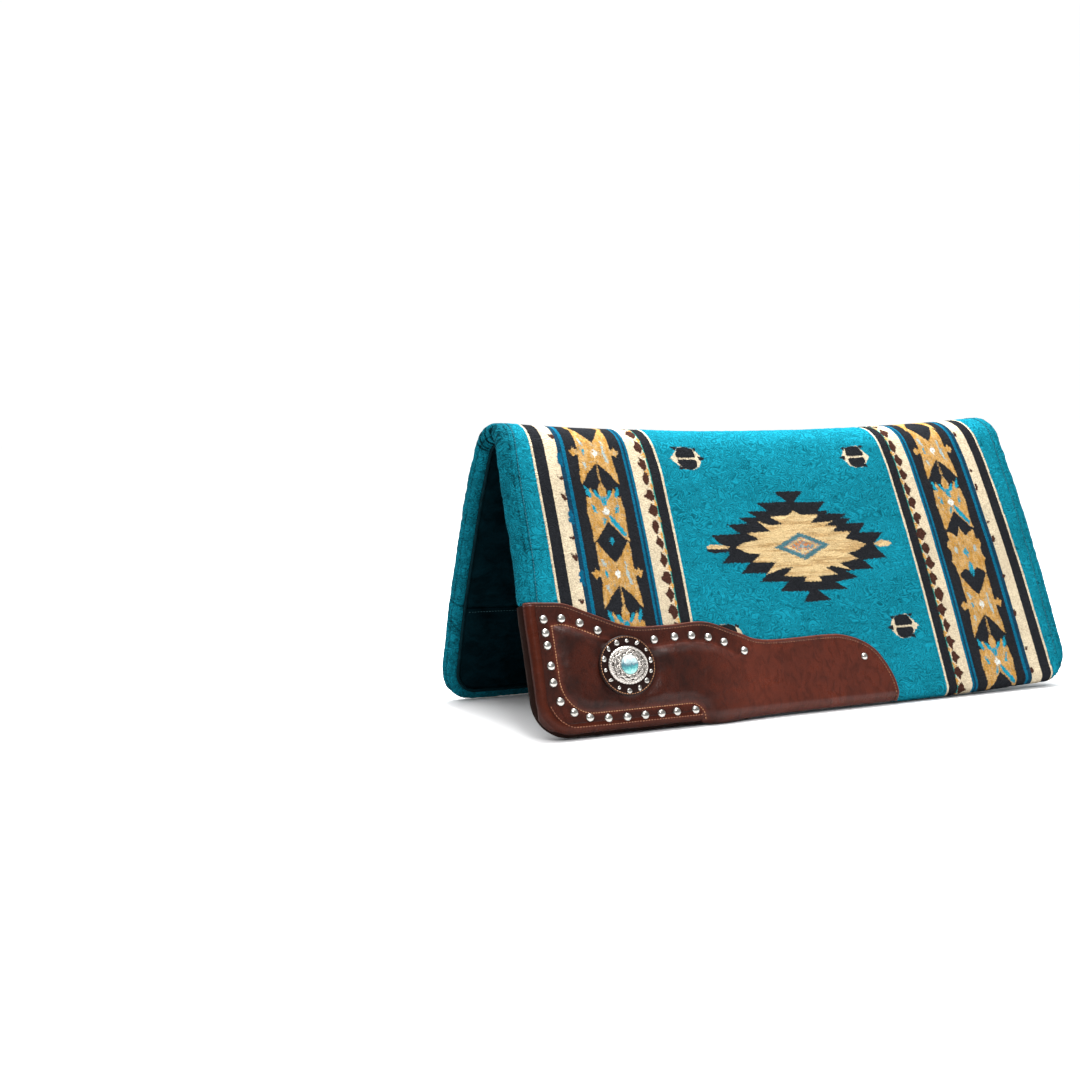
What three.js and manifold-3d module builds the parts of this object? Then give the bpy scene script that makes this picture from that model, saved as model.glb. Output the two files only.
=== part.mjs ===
// A western show pad for under a saddle, standing folded over its own spine. Millimetres, +Z up.
// +X runs along the spine to the rear, the near (left) side of the pad is -Y and the off side is +Y.
// The origin is on the ground under the middle of the spine, halfway between the two hems.
import * as THREE from "three";
import * as BufferGeometryUtils from "three/addons/utils/BufferGeometryUtils.js";
import Module from "manifold-3d";

// The pad: 34 in along the spine and 34 in from hem to hem over the top.
const spineLength = 864;
const sideDrop = 432;
const padThickness = 26;
const crestRadius = 45;
const flankTilt = THREE.MathUtils.degToRad(20);
const cornerRadius = 48;
const gap = 0.3;

// What the thickness is made of, from the outer face inwards.
const blanketThickness = 5;
const feltThickness = 12;
const bindingWidth = 16;
const bindingChamfer = 4;
const pipingSize = 4.2;
const pipingProud = 1;
const innerPanelTop = 288;

// The fold over the spine: a stiff crest strip, then a band on each side that bends.
const crestHalfAngle = THREE.MathUtils.degToRad(10);
const seamAngle = THREE.MathUtils.degToRad(0.5);

// The wear leather on the lower front of each flank.
const leatherThickness = 2.2;
const leatherBindingWidth = 10;
const leatherBindingEnd = 238;
const edgeWrap = 2;
const wrapDepth = 12;
const wrapBackingDepth = 19;
const paddedThickness = 5.4;
const foamThickness = 3.4;
const studRadius = 4.8;
const studHeight = 3.4;

// The concho and what carries it.
const conchoCentre = [130, 351.5];
const roundelRadius = 41;
const roundelThickness = 2;
const conchoRadius = 29;
const conchoHeight = 3.6;
const stoneHalfSize = [12, 13.5];
const stoneHeight = 5;
const screwRadius = 2.6;
const screwHeadRadius = 6;
const screwHeadHeight = 1.1;

// Places on a flank are [distance behind the front edge, distance down from the crest].
const leatherTop = [
  [0, 262], [60, 266], [100, 282], [147, 299], [200, 301], [260, 300],
  [307, 317], [350, 331], [449, 331], [499, 340], [535, 376], [549, 416],
];
const frontStuds = [[26, 283], [26, 300], [26, 317], [27, 343], [27, 364], [33, 386], [50, 403]];
const hemStuds = [[71, 412], [97, 415], [124, 416], [150, 416], [174, 416], [197, 416], [225, 416]];
const topStuds = [
  [51, 285], [76, 292], [100, 303], [180, 320], [211, 318], [237, 318], [262, 322], [285, 330], [314, 344],
];
const rearStud = [505, 367];

const wasm = await Module();
wasm.setup();

const arcLength = crestRadius * (Math.PI / 2 - flankTilt);
const liningInset = bindingWidth + gap + pipingSize + gap;
const straightDrop = sideDrop - arcLength;
const crestCentreHeight = straightDrop * Math.cos(flankTilt)
  - crestRadius * Math.sin(flankTilt) + (padThickness - bindingChamfer) * Math.sin(flankTilt);

const leatherBack = gap;
const leatherFront = leatherBack + leatherThickness;
const overlayBack = leatherFront + gap;
const paddedFront = overlayBack + paddedThickness;
const roundelBack = paddedFront + gap;
const conchoBack = roundelBack + roundelThickness + gap;
const stoneBack = conchoBack + conchoHeight + gap;

const finishes = {
  weave: { color: 0x1793ab, roughness: 0.95, metalness: 0 },
  plush: { color: 0x118aa3, roughness: 0.95, metalness: 0 },
  felt: { color: 0x8d8f8c, roughness: 1, metalness: 0 },
  lining: { color: 0x0b2b33, roughness: 0.95, metalness: 0 },
  cord: { color: 0x17292c, roughness: 0.7, metalness: 0 },
  leather: { color: 0x4a241d, roughness: 0.45, metalness: 0 },
  paddedLeather: { color: 0x3f2323, roughness: 0.4, metalness: 0 },
  bindingLeather: { color: 0x7a3a2b, roughness: 0.5, metalness: 0 },
  edgeLeather: { color: 0x2a1613, roughness: 0.6, metalness: 0 },
  foam: { color: 0xb9b4a4, roughness: 1, metalness: 0 },
  silver: { color: 0xc9c9c6, roughness: 0.25, metalness: 1 },
  turquoise: { color: 0x8fd0cd, roughness: 0.15, metalness: 0 },
};

function part(name, geometry, finish) {
  const mesh = new THREE.Mesh(geometry, new THREE.MeshStandardMaterial(finishes[finish]));
  mesh.name = name;
  return mesh;
}

// Solids for joining and cutting.
function toSolid(geometry) {
  const bare = geometry.clone();
  bare.deleteAttribute("normal");
  bare.deleteAttribute("uv");
  const merged = BufferGeometryUtils.mergeVertices(bare, 1e-4);
  return new wasm.Manifold(new wasm.Mesh({
    numProp: 3,
    vertProperties: new Float32Array(merged.attributes.position.array),
    triVerts: new Uint32Array(merged.index.array),
  }));
}

function toGeometry(solid) {
  const mesh = solid.getMesh();
  const geometry = new THREE.BufferGeometry();
  geometry.setAttribute("position", new THREE.BufferAttribute(mesh.vertProperties, 3));
  geometry.setIndex(new THREE.BufferAttribute(mesh.triVerts, 1));
  geometry.computeVertexNormals();
  return geometry;
}

function join(geometry, ...others) {
  const joined = others.reduce((solid, other) => solid.add(toSolid(other)), toSolid(geometry));
  return toGeometry(joined);
}

function cut(geometry, ...others) {
  const left = others.reduce((solid, other) => solid.subtract(toSolid(other)), toSolid(geometry));
  return toGeometry(left);
}

// A place on a flank in the flank's own plane, whose origin is where the crest would be if it lay flat.
function at(front, drop) {
  return new THREE.Vector2(front - spineLength / 2, -drop);
}

// The front edge, hem and rear edge of a flank, moved in by a distance, from front top to rear top.
function edgePoints(inset, top = arcLength + gap) {
  const [left, right] = [at(inset, top), at(spineLength - inset, top)];
  const radius = cornerRadius - inset;
  const bottom = inset - sideDrop;
  const path = new THREE.Path();
  path.moveTo(left.x, left.y);
  path.lineTo(left.x, bottom + radius);
  path.absarc(left.x + radius, bottom + radius, radius, Math.PI, 1.5 * Math.PI, false);
  path.lineTo(right.x - radius, bottom);
  path.absarc(right.x - radius, bottom + radius, radius, 1.5 * Math.PI, 2 * Math.PI, false);
  path.lineTo(right.x, right.y);
  return path.getPoints(6);
}

function flankOutline(inset, top) {
  return new THREE.Shape(edgePoints(inset, top));
}

// The lining above the inner panel, which is sewn edge to edge with it.
function liningOutline() {
  const [top, bottom] = [arcLength + gap, innerPanelTop - gap];
  const [front, rear] = [liningInset, spineLength - liningInset];
  return new THREE.Shape([at(front, bottom), at(rear, bottom), at(rear, top), at(front, top)]);
}

function rimOutline(outer, inner) {
  return new THREE.Shape([...edgePoints(outer), ...edgePoints(inner).reverse()]);
}

// A strip that follows the front edge down from a height, round the corner and along the hem.
function cornerStrip(outer, inner, top, end) {
  const side = (inset) => {
    const radius = cornerRadius - inset;
    const start = at(inset, top);
    const centre = at(cornerRadius, sideDrop - cornerRadius);
    const path = new THREE.Path();
    path.moveTo(start.x, start.y);
    path.lineTo(start.x, centre.y);
    path.absarc(centre.x, centre.y, radius, Math.PI, 1.5 * Math.PI, false);
    path.lineTo(at(end, 0).x, inset - sideDrop);
    return path.getPoints(8);
  };
  return new THREE.Shape([...side(outer), ...side(inner).reverse()]);
}

// The leather's outline: its waved top edge, the rear end, the hem and the rounded front corner.
function leatherOutline(inset) {
  const front = leatherTop[0][1] + inset;
  const rear = leatherTop.at(-1)[0];
  const start = at(inset, front);
  const corner = at(cornerRadius, sideDrop - cornerRadius);
  const shape = new THREE.Shape();
  shape.moveTo(start.x, start.y);
  shape.splineThru(leatherTop.slice(1).map(([x, drop]) => at(x, drop)));
  shape.lineTo(at(rear, 0).x, inset - sideDrop);
  shape.lineTo(corner.x, inset - sideDrop);
  shape.absarc(corner.x, corner.y, cornerRadius - inset, 1.5 * Math.PI, Math.PI, true);
  return shape;
}

// The raised panel: square at the front top, waved under the studs, round at the front bottom.
function paddedOutline() {
  const shape = new THREE.Shape();
  const corner = at(80, 362.5);
  shape.moveTo(at(36, 294).x, at(36, 294).y);
  shape.lineTo(at(52, 293).x, at(52, 293).y);
  shape.splineThru([at(77, 301), at(100, 311), at(137, 322), at(177, 328)]);
  shape.splineThru([at(210, 326), at(240, 326), at(264, 330), at(284, 339), at(312, 353)]);
  shape.splineThru([at(334, 376), at(322, 400), at(290, 406.5)]);
  shape.lineTo(corner.x, at(0, 406.5).y);
  shape.absarc(corner.x, corner.y, 44, 1.5 * Math.PI, Math.PI, true);
  return shape;
}

// A plate in the flank's plane, between two heights above the outer face, with chamfered edges.
function plate(shape, back, front, chamfer = 0, inset = 0) {
  const geometry = new THREE.ExtrudeGeometry(shape, {
    depth: front - back - 2 * chamfer,
    curveSegments: 3,
    bevelEnabled: chamfer > 0,
    bevelThickness: chamfer,
    bevelSize: chamfer,
    bevelOffset: -chamfer - inset,
    bevelSegments: 1,
  });
  return geometry.translate(0, 0, back + chamfer);
}

function turned(profile, segments) {
  const points = profile.map(([radius, height]) => new THREE.Vector2(radius, height));
  return new THREE.LatheGeometry(points, segments).rotateX(Math.PI / 2);
}

function peg(place, radius, back, front, segments = 16) {
  const centre = at(...place);
  const profile = [[0, back], [radius, back], [radius, front], [0, front]];
  return turned(profile, segments).translate(centre.x, centre.y, 0);
}

function studDome(place, back) {
  const centre = at(...place);
  const profile = [
    [0, back - 1], [studRadius, back - 1], [studRadius, back + 0.6],
    [0.7 * studRadius, back + 0.75 * studHeight], [0, back + studHeight],
  ];
  return turned(profile, 8).translate(centre.x, centre.y, 0);
}

// A length of one layer round the spine, between two angles from the top towards the near side.
function foldStrip(outer, inner, from, to, front, rear) {
  const shape = new THREE.Shape();
  const start = Math.PI / 2 + from + seamAngle;
  const end = Math.PI / 2 + to - seamAngle;
  shape.absarc(0, 0, crestRadius - outer, start, end, false);
  shape.absarc(0, 0, crestRadius - inner, end, start, true);
  const geometry = new THREE.ExtrudeGeometry(shape, {
    depth: rear - front,
    curveSegments: Math.round((to - from) / crestHalfAngle) + 2,
    bevelEnabled: false,
  });
  const along = new THREE.Vector3(1, 0, 0);
  const across = new THREE.Vector3(0, 1, 0);
  const up = new THREE.Vector3(0, 0, 1);
  geometry.applyMatrix4(new THREE.Matrix4().makeBasis(across, up, along));
  return geometry.translate(front - spineLength / 2, 0, crestCentreHeight);
}

// Every layer of the pad over one stretch of the spine.
function foldLayers(name, from, to) {
  const feltTop = blanketThickness + gap;
  const liningTop = feltTop + feltThickness + gap;
  const inset = bindingWidth + gap;
  const strip = (piece, outer, inner, front, rear, finish) =>
    part(`${name}_${piece}`, foldStrip(outer, inner, from, to, front, rear), finish);
  return [
    strip("blanket", 0, blanketThickness, inset, spineLength - inset, "weave"),
    strip("felt", feltTop, feltTop + feltThickness, inset, spineLength - inset, "felt"),
    strip("lining", liningTop, padThickness, liningInset, spineLength - liningInset, "lining"),
    strip("front_binding", 0, padThickness, 0, bindingWidth, "plush"),
    strip("rear_binding", 0, padThickness, spineLength - bindingWidth, spineLength, "plush"),
  ];
}

// The soft layers of one flank. The edge binding gives way where leather is wrapped round it.
function flankLayers(side, wrapped) {
  const feltTop = -blanketThickness - gap;
  const liningTop = feltTop - feltThickness - gap;
  const top = leatherTop[0][1];
  const ring = plate(rimOutline(0, bindingWidth), -padThickness, 0, bindingChamfer);
  const rebate = plate(
    cornerStrip(-1, edgeWrap + gap, top - gap, leatherBindingEnd + gap), -wrapBackingDepth - gap, 1,
  );
  const inset = bindingWidth + gap;
  const pipingBack = -padThickness - pipingProud;
  return [
    part(`${side}_blanket`, plate(flankOutline(inset), -blanketThickness, 0), "weave"),
    part(`${side}_felt`, plate(flankOutline(inset), feltTop - feltThickness, feltTop), "felt"),
    part(`${side}_lining`, plate(liningOutline(), -padThickness, liningTop), "lining"),
    part(`${side}_edge_binding`, wrapped ? cut(ring, rebate) : ring, "plush"),
    part(`${side}_piping`, plate(
      rimOutline(inset, inset + pipingSize), pipingBack, pipingBack + pipingSize, 1,
    ), "cord"),
    part(`${side}_inner_panel`, plate(
      flankOutline(liningInset, innerPanelTop), -padThickness, liningTop,
    ), "lining"),
  ];
}

// The wear leather with its studs, the rolled binding of its front edge and the raised panel.
function flankLeather(side, wrapped) {
  const top = leatherTop[0][1];
  const edge = wrapped ? 0 : 5;
  const hole = peg(conchoCentre, screwRadius + gap, -1, conchoBack);
  const recess = peg(conchoCentre, screwHeadRadius + gap, -1, leatherBack + screwHeadHeight + gap);
  const rearHole = peg(rearStud, 1.5, -1, leatherFront + 1);
  const studs = [...frontStuds, ...hemStuds, ...topStuds].map((place) => studDome(place, leatherFront));
  const leather = join(
    plate(leatherOutline(edge + edgeWrap + gap), leatherBack, leatherFront), ...studs,
  );
  const roll = plate(
    cornerStrip(edge, leatherBindingWidth, top, leatherBindingEnd),
    overlayBack, overlayBack + leatherThickness, 0.8,
  );
  const wrap = plate(
    cornerStrip(0, edgeWrap, top, leatherBindingEnd), -wrapDepth, overlayBack + 0.5 * leatherThickness,
  );
  const pocket = plate(paddedOutline(), overlayBack - 2, overlayBack + foamThickness + gap, 0.8, 5);
  const foam = plate(paddedOutline(), overlayBack, overlayBack + foamThickness, 0.8, 5 + gap);
  const padded = plate(paddedOutline(), overlayBack, paddedFront, 2);
  const pieces = [
    part(`${side}_wear_leather`, cut(leather, hole, recess, rearHole), "leather"),
    part(`${side}_leather_binding`, wrapped ? join(roll, wrap) : roll, "bindingLeather"),
    part(`${side}_panel_foam`, cut(foam, hole), "foam"),
    part(`${side}_padded_panel`, cut(padded, pocket, hole), "paddedLeather"),
  ];
  if (wrapped) {
    pieces.push(part(`${side}_edge_backing`, plate(
      cornerStrip(0, edgeWrap, top, leatherBindingEnd), -wrapBackingDepth, -wrapDepth - gap,
    ), "edgeLeather"));
  }
  return pieces;
}

// The concho with its stone, the round of leather behind it, and the screw that holds all three.
function flankMetal(side) {
  const centre = at(...conchoCentre);
  const rear = at(...rearStud);
  const rim = conchoHeight / 3;
  const hole = peg(conchoCentre, screwRadius + gap, roundelBack - 1, conchoBack);
  const concho = turned([
    [0, 0], [conchoRadius, 0], [conchoRadius, rim], [0.86 * conchoRadius, 2 * rim],
    [0.62 * conchoRadius, 1.6 * rim], [0.5 * conchoRadius, conchoHeight], [0, conchoHeight],
  ], 24);
  const quarter = [0, 0.33, 0.67, 1].map((step) => step * Math.PI / 2);
  const stone = turned([
    [0, 0], ...quarter.map((angle) => [stoneHalfSize[0] * Math.cos(angle), stoneHeight * Math.sin(angle)]),
  ], 20);
  const screw = turned([
    [0, leatherBack], [screwHeadRadius, leatherBack], [screwHeadRadius, leatherBack + screwHeadHeight],
    [screwRadius, leatherBack + screwHeadHeight], [screwRadius, conchoBack - gap], [0, conchoBack - gap],
  ], 12);
  const stud = turned([
    [0, leatherBack], [1.1, leatherBack], [1.1, overlayBack], [studRadius, overlayBack],
    [studRadius, overlayBack + 0.6], [0.7 * studRadius, overlayBack + 0.7 * studHeight],
    [0, overlayBack + studHeight],
  ], 10);
  stone.scale(1, stoneHalfSize[1] / stoneHalfSize[0], 1);
  return [
    part(`${side}_roundel`, cut(
      peg(conchoCentre, roundelRadius, roundelBack, roundelBack + roundelThickness, 32), hole,
    ), "paddedLeather"),
    part(`${side}_concho`, concho.translate(centre.x, centre.y, conchoBack), "silver"),
    part(`${side}_stone`, stone.translate(centre.x, centre.y, stoneBack), "turquoise"),
    part(`${side}_concho_screw`, screw.translate(centre.x, centre.y, 0), "silver"),
    part(`${side}_rear_stud`, stud.translate(rear.x, rear.y, 0), "silver"),
  ];
}

// A near flank, leaning out from the end of the arc over the spine.
function flank(side, wrapped) {
  const group = new THREE.Group();
  const [sine, cosine] = [Math.sin(flankTilt), Math.cos(flankTilt)];
  group.rotation.x = Math.PI / 2 - flankTilt;
  group.position.y = -crestRadius * cosine + arcLength * sine;
  group.position.z = crestCentreHeight + crestRadius * sine + arcLength * cosine;
  group.add(...flankLayers(side, wrapped), ...flankLeather(side, wrapped), ...flankMetal(side));
  return group;
}

const foldEnd = Math.PI / 2 - flankTilt;
const nearSide = new THREE.Group();
nearSide.add(...foldLayers("near_fold", crestHalfAngle, foldEnd), flank("near", true));

// The off side is the near side mirrored, but its leather stops short of the front edge.
const offSide = new THREE.Group();
offSide.scale.y = -1;
offSide.add(...foldLayers("off_fold", crestHalfAngle, foldEnd), flank("off", false));

const saddlePad = new THREE.Group();
saddlePad.add(...foldLayers("crest", -crestHalfAngle, crestHalfAngle), nearSide, offSide);

export default saddlePad;
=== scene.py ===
import math

import bmesh
import bpy
import numpy as np
from mathutils import Matrix, Vector


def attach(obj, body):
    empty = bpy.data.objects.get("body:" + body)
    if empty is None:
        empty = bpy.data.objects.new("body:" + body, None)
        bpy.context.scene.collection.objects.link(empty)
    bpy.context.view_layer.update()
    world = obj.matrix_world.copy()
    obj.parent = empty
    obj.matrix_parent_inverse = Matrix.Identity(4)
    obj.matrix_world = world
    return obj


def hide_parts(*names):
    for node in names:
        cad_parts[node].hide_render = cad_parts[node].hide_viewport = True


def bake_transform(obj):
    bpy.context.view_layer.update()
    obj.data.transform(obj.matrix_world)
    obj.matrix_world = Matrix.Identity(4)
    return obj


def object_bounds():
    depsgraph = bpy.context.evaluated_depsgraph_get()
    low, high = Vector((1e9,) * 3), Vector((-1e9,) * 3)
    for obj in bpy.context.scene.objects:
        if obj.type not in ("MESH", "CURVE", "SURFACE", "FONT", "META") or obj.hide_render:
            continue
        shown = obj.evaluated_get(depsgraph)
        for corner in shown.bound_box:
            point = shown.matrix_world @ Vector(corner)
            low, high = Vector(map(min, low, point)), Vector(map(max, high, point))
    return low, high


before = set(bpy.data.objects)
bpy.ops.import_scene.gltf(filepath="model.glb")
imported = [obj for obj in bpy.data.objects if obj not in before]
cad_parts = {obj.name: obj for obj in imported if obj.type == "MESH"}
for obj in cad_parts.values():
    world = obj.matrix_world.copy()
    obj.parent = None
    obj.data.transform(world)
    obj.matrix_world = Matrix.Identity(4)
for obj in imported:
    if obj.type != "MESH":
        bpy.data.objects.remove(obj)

CAD_BOX = [[float(v) for v in corner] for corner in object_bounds()]

# Driving dimensions, in millimetres, the same as the frame's.
MM = 0.001
LENGTH = (CAD_BOX[1][0] - CAD_BOX[0][0]) / MM
TOP = CAD_BOX[1][2] / MM
DROP = 432.0
THICK = 26.0
CREST_RADIUS = 45.0
TILT = math.radians(20)
CORNER = 48.0
EDGE = THICK / 2
ARC = CREST_RADIUS * (math.pi / 2 - TILT)
CREST_Z = TOP - CREST_RADIUS
HALF_TURN = math.pi * EDGE

# How the soft pad departs from its flat plan. The crest sags between its raised ends and each flank bows out.
SAG = 16.0
CREST_RISE = 6.0
REAR_RISE = 2.0
REAR_LIFT = 5.0
BOW = {"near": 8.0, "off": 11.0}
# Lengthwise, the rear end splays at the hem and is short at the crest, the front is set back at the crest and
# the leather's end is pulled forward.
SPLAY = 15.0
TAPER = 33.0
SETBACK = 10.0
FORWARD = {"near": 4.3, "off": 2.0}
SEAM_INSET = 20.0
PIPING_INSET = 17.0
PIPING_RADIUS = 2.2

SIDES = {"near": -1, "off": 1}

# Places on a flank, (distance behind the front edge, distance down from the crest).
LEATHER_TOP = [
    (0, 262), (30, 263), (60, 266), (100, 282), (147, 299), (200, 301), (260, 300), (307, 317),
    (350, 331), (449, 331), (480, 334), (507, 344), (527, 359), (543, 384), (551, 408), (553, 432),
]
FRONT_STUDS = [(26, 285), (26, 302), (26, 318), (27, 344), (27, 365), (33, 389), (50, 404)]
HEM_STUDS = [(71, 412), (97, 415), (124, 416), (150, 416), (174, 416), (197, 416), (225, 416)]
TOP_STUDS = [
    (51, 285), (76, 292), (100, 303), (180, 320), (211, 318), (237, 318), (262, 322), (285, 330),
    (314, 344),
]
STUDS = FRONT_STUDS + HEM_STUDS + TOP_STUDS
REAR_STUD = (505, 367)
CONCHO = (132.5, 351.5)
ROUNDEL_RADIUS = 41.0
CONCHO_RADIUS = 29.0
PANEL_TOP = [(36, 294), (52, 293), (77, 301), (100, 311), (137, 320), (177, 328), (210, 326),
             (240, 326), (264, 330), (284, 339), (306, 350), (330, 354), (420, 352), (560, 350)]
PANEL_BOTTOM = 407.0
PANEL_LEFT = 36.0
PANEL_CORNER = 44.0
ROLL_END = 238.0
INNER_PANEL_TOP = 288.0


# ---------------------------------------------------------------- the camera

# The photo's point of view, in metres from the middle of the pad and in radians.
CAMERA_PLACE = (-1.235, -1.810, 0.3935)
CAMERA_TURN = (math.radians(26.03), math.radians(-4.38), -0.0091)


def camera():
    yaw, pitch, roll = CAMERA_TURN
    forward = Vector((math.sin(yaw) * math.cos(pitch), math.cos(yaw) * math.cos(pitch), math.sin(pitch)))
    right = Vector((math.cos(yaw), -math.sin(yaw), 0))
    up = right.cross(forward)
    rolled = right * math.cos(roll) + up * math.sin(roll)
    upright = up * math.cos(roll) - right * math.sin(roll)
    data = bpy.data.cameras.new("camera")
    data.lens = 50
    data.sensor_width = 36
    made = bpy.data.objects.new("camera", data)
    bpy.context.scene.collection.objects.link(made)
    turn = Matrix((rolled, upright, -forward)).transposed().to_4x4()
    made.matrix_world = Matrix.Translation(CAMERA_PLACE) @ turn
    bpy.context.scene.camera = made


# ---------------------------------------------------------------- numbers and surfaces

def ripple(a, b, seed):
    """Smooth noise from -1 to 1 over a plane, one bump to a unit."""
    table = np.random.RandomState(seed).uniform(-1, 1, (64, 64))
    a, b = np.broadcast_arrays(a, b)
    i, j = np.floor(a).astype(int), np.floor(b).astype(int)
    f, g = a - i, b - j
    f, g = f * f * (3 - 2 * f), g * g * (3 - 2 * g)
    i0, i1, j0, j1 = i % 64, (i + 1) % 64, j % 64, (j + 1) % 64
    low = table[i0, j0] * (1 - f) + table[i1, j0] * f
    high = table[i0, j1] * (1 - f) + table[i1, j1] * f
    return low * (1 - g) + high * g


def smooth(value, low=0.0, high=1.0):
    t = np.clip((value - low) / (high - low), 0, 1)
    return t * t * (3 - 2 * t)


def bell(value, width):
    return np.exp(-(value / width) ** 2)


def curve(points, count=200):
    """A Catmull-Rom curve through the points, evenly spaced along its length."""
    p = np.array([points[0], *points, points[-1]], float)
    t = np.linspace(0, 1, 16, endpoint=False)[:, None]
    made = []
    for a, b, c, d in zip(p[:-3], p[1:-2], p[2:-1], p[3:]):
        made.append(0.5 * (2 * b + (c - a) * t + (2 * a - 5 * b + 4 * c - d) * t**2
                           + (3 * b - a - 3 * c + d) * t**3))
    made = np.vstack([*made, p[-1:]])
    return even(made, count)


def even(line, count):
    run = np.concatenate([[0], np.cumsum(np.linalg.norm(np.diff(line, axis=0), axis=1))])
    at = np.linspace(0, run[-1], count)
    return np.column_stack([np.interp(at, run, line[:, k]) for k in range(line.shape[1])])


def distance(x, s, line):
    """How far each point is from a line of points."""
    best = np.full(np.shape(x), 1e9)
    for (ax, ay), (bx, by) in zip(line[:-1], line[1:]):
        dx, dy = bx - ax, by - ay
        t = np.clip(((x - ax) * dx + (s - ay) * dy) / max(dx * dx + dy * dy, 1e-9), 0, 1)
        best = np.minimum(best, np.hypot(x - ax - t * dx, s - ay - t * dy))
    return best


def place(side, x, s, w):
    """The point x behind the front edge, s down from the crest and w out from the outer face, in metres."""
    x, s, w = np.broadcast_arrays(*(np.asarray(v, float) for v in (x, s, w)))
    angle = np.minimum(s, ARC) / CREST_RADIUS
    below = np.maximum(s - ARC, 0)
    along = 2 * x / LENGTH - 1
    down = np.clip(s / DROP, 0, 1)
    droop = (SAG * (1 - along**2) - CREST_RISE - REAR_RISE * x / LENGTH) * (1 - down) ** 1.2
    lift = REAR_LIFT * smooth(x / LENGTH, 0.72, 1.0) * down
    seed = 3 if side == "near" else 4
    wave = 1.3 * ripple(x / 150 + 7, s / 130 + 3, seed) * smooth(down, 0.1, 0.5) * (1 - 0.6 * down)
    out = CREST_RADIUS + w + BOW[side] * np.sin(math.pi * down) + wave
    y = out * np.sin(angle) + below * math.sin(TILT)
    z = CREST_Z + out * np.cos(angle) - below * math.cos(TILT) - droop + lift
    return np.stack([ahead_of(side, x, s) - LENGTH / 2, SIDES[side] * y, z], axis=-1) * MM


def ahead_of(side, x, s):
    """Where a place x behind the cut cloth's front edge really is: the pad is shorter along its crest."""
    up = 1 - np.clip(s / DROP, 0, 1)
    rear = np.clip(x / LENGTH, 0, 1.1) ** 2
    pinch = SETBACK * (1 - np.clip(x / 260, 0, 1)) ** 2 * np.clip(1 - s / 150, 0, 1) ** 2
    kick = FORWARD[side] * smooth(s, 190, 290) * (1 - smooth(x, 560, 760))
    return x + pinch - kick + rear * (SPLAY - TAPER * up)


def outer(side, x, s, h):
    """As place, but the face turns over the rounded edge: x and s are measured along the outer face."""
    x, s, h = np.broadcast_arrays(*(np.asarray(v, float) for v in (x, s, h)))
    cx, cs = np.clip(x, CORNER, LENGTH - CORNER), np.minimum(s, DROP - CORNER)
    dx, ds = x - cx, s - cs
    far = np.hypot(dx, ds)
    flat = far < 1e-6
    nx = np.where(flat, 0, dx / np.maximum(far, 1e-6))
    ns = np.where(flat, 0, ds / np.maximum(far, 1e-6))
    reach, w = roll_over(far - (CORNER - EDGE), h)
    inside = far < CORNER - EDGE
    return place(side, np.where(inside, x, cx + nx * reach), np.where(inside, s, cs + ns * reach), w)


def roll_over(u, h):
    """Round the pad's edge: u is the way past the last flat place of the outer face, h the height over it.

    Returns the point's distance from the centre of the rim's corner, and its height w over the outer face.
    """
    turn = np.clip(u, 0, HALF_TURN) / EDGE
    reach = (EDGE + h) * np.sin(turn) + np.minimum(u, 0) - np.maximum(u - HALF_TURN, 0)
    return CORNER - EDGE + reach, (EDGE + h) * np.cos(turn) - EDGE


def rim_path(start, end, step):
    """Places along the rim from the front top to the rear top.

    Returns the centre each place is turned round, its outward direction and its run along the rim.
    """
    side_run, corner_run = DROP - CORNER, (CORNER - EDGE) * math.pi / 2
    hem_run = LENGTH - 2 * CORNER
    total = 2 * side_run + 2 * corner_run + hem_run
    run = np.arange(start, (total if end is None else end) + step / 2, step)
    a, b = side_run, side_run + corner_run
    c, d = b + hem_run, b + hem_run + corner_run
    turn = np.clip((run - a) / corner_run, 0, 1) + np.clip((run - c) / corner_run, 0, 1)
    turn = turn * math.pi / 2
    cx = CORNER + np.clip(run - b, 0, hem_run)
    cs = np.minimum(run, side_run) - np.maximum(run - d, 0)
    return cx, cs, -np.cos(turn), np.sin(turn), run


def rim(side, path, u, h):
    """Points round the rim: one row for each place of the path, one column for each u and h."""
    cx, cs, nx, ns, _ = (v[:, None] for v in path)
    reach, w = roll_over(u, h)
    return place(side, cx + nx * reach, cs + ns * reach, w)


# ---------------------------------------------------------------- meshes

def make(name, points, faces, material, vectors=None):
    mesh = bpy.data.meshes.new(name)
    mesh.from_pydata(np.asarray(points, float).reshape(-1, 3).tolist(), [], faces)
    for key, values in (vectors or {}).items():
        layer = mesh.attributes.new(key, "FLOAT_VECTOR", "POINT")
        layer.data.foreach_set("vector", np.asarray(values, np.float32).reshape(-1))
    turned = bmesh.new()
    turned.from_mesh(mesh)
    bmesh.ops.recalc_face_normals(turned, faces=turned.faces)
    turned.to_mesh(mesh)
    turned.free()
    mesh.shade_smooth()
    mesh.materials.append(material)
    made = bpy.data.objects.new(name, mesh)
    bpy.context.scene.collection.objects.link(made)
    return made


def quads(rows, columns, start=0):
    index = np.arange(rows * columns).reshape(rows, columns) + start
    corners = [index[:-1, :-1], index[1:, :-1], index[1:, 1:], index[:-1, 1:]]
    return np.stack(corners, -1).reshape(-1, 4).tolist()


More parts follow.
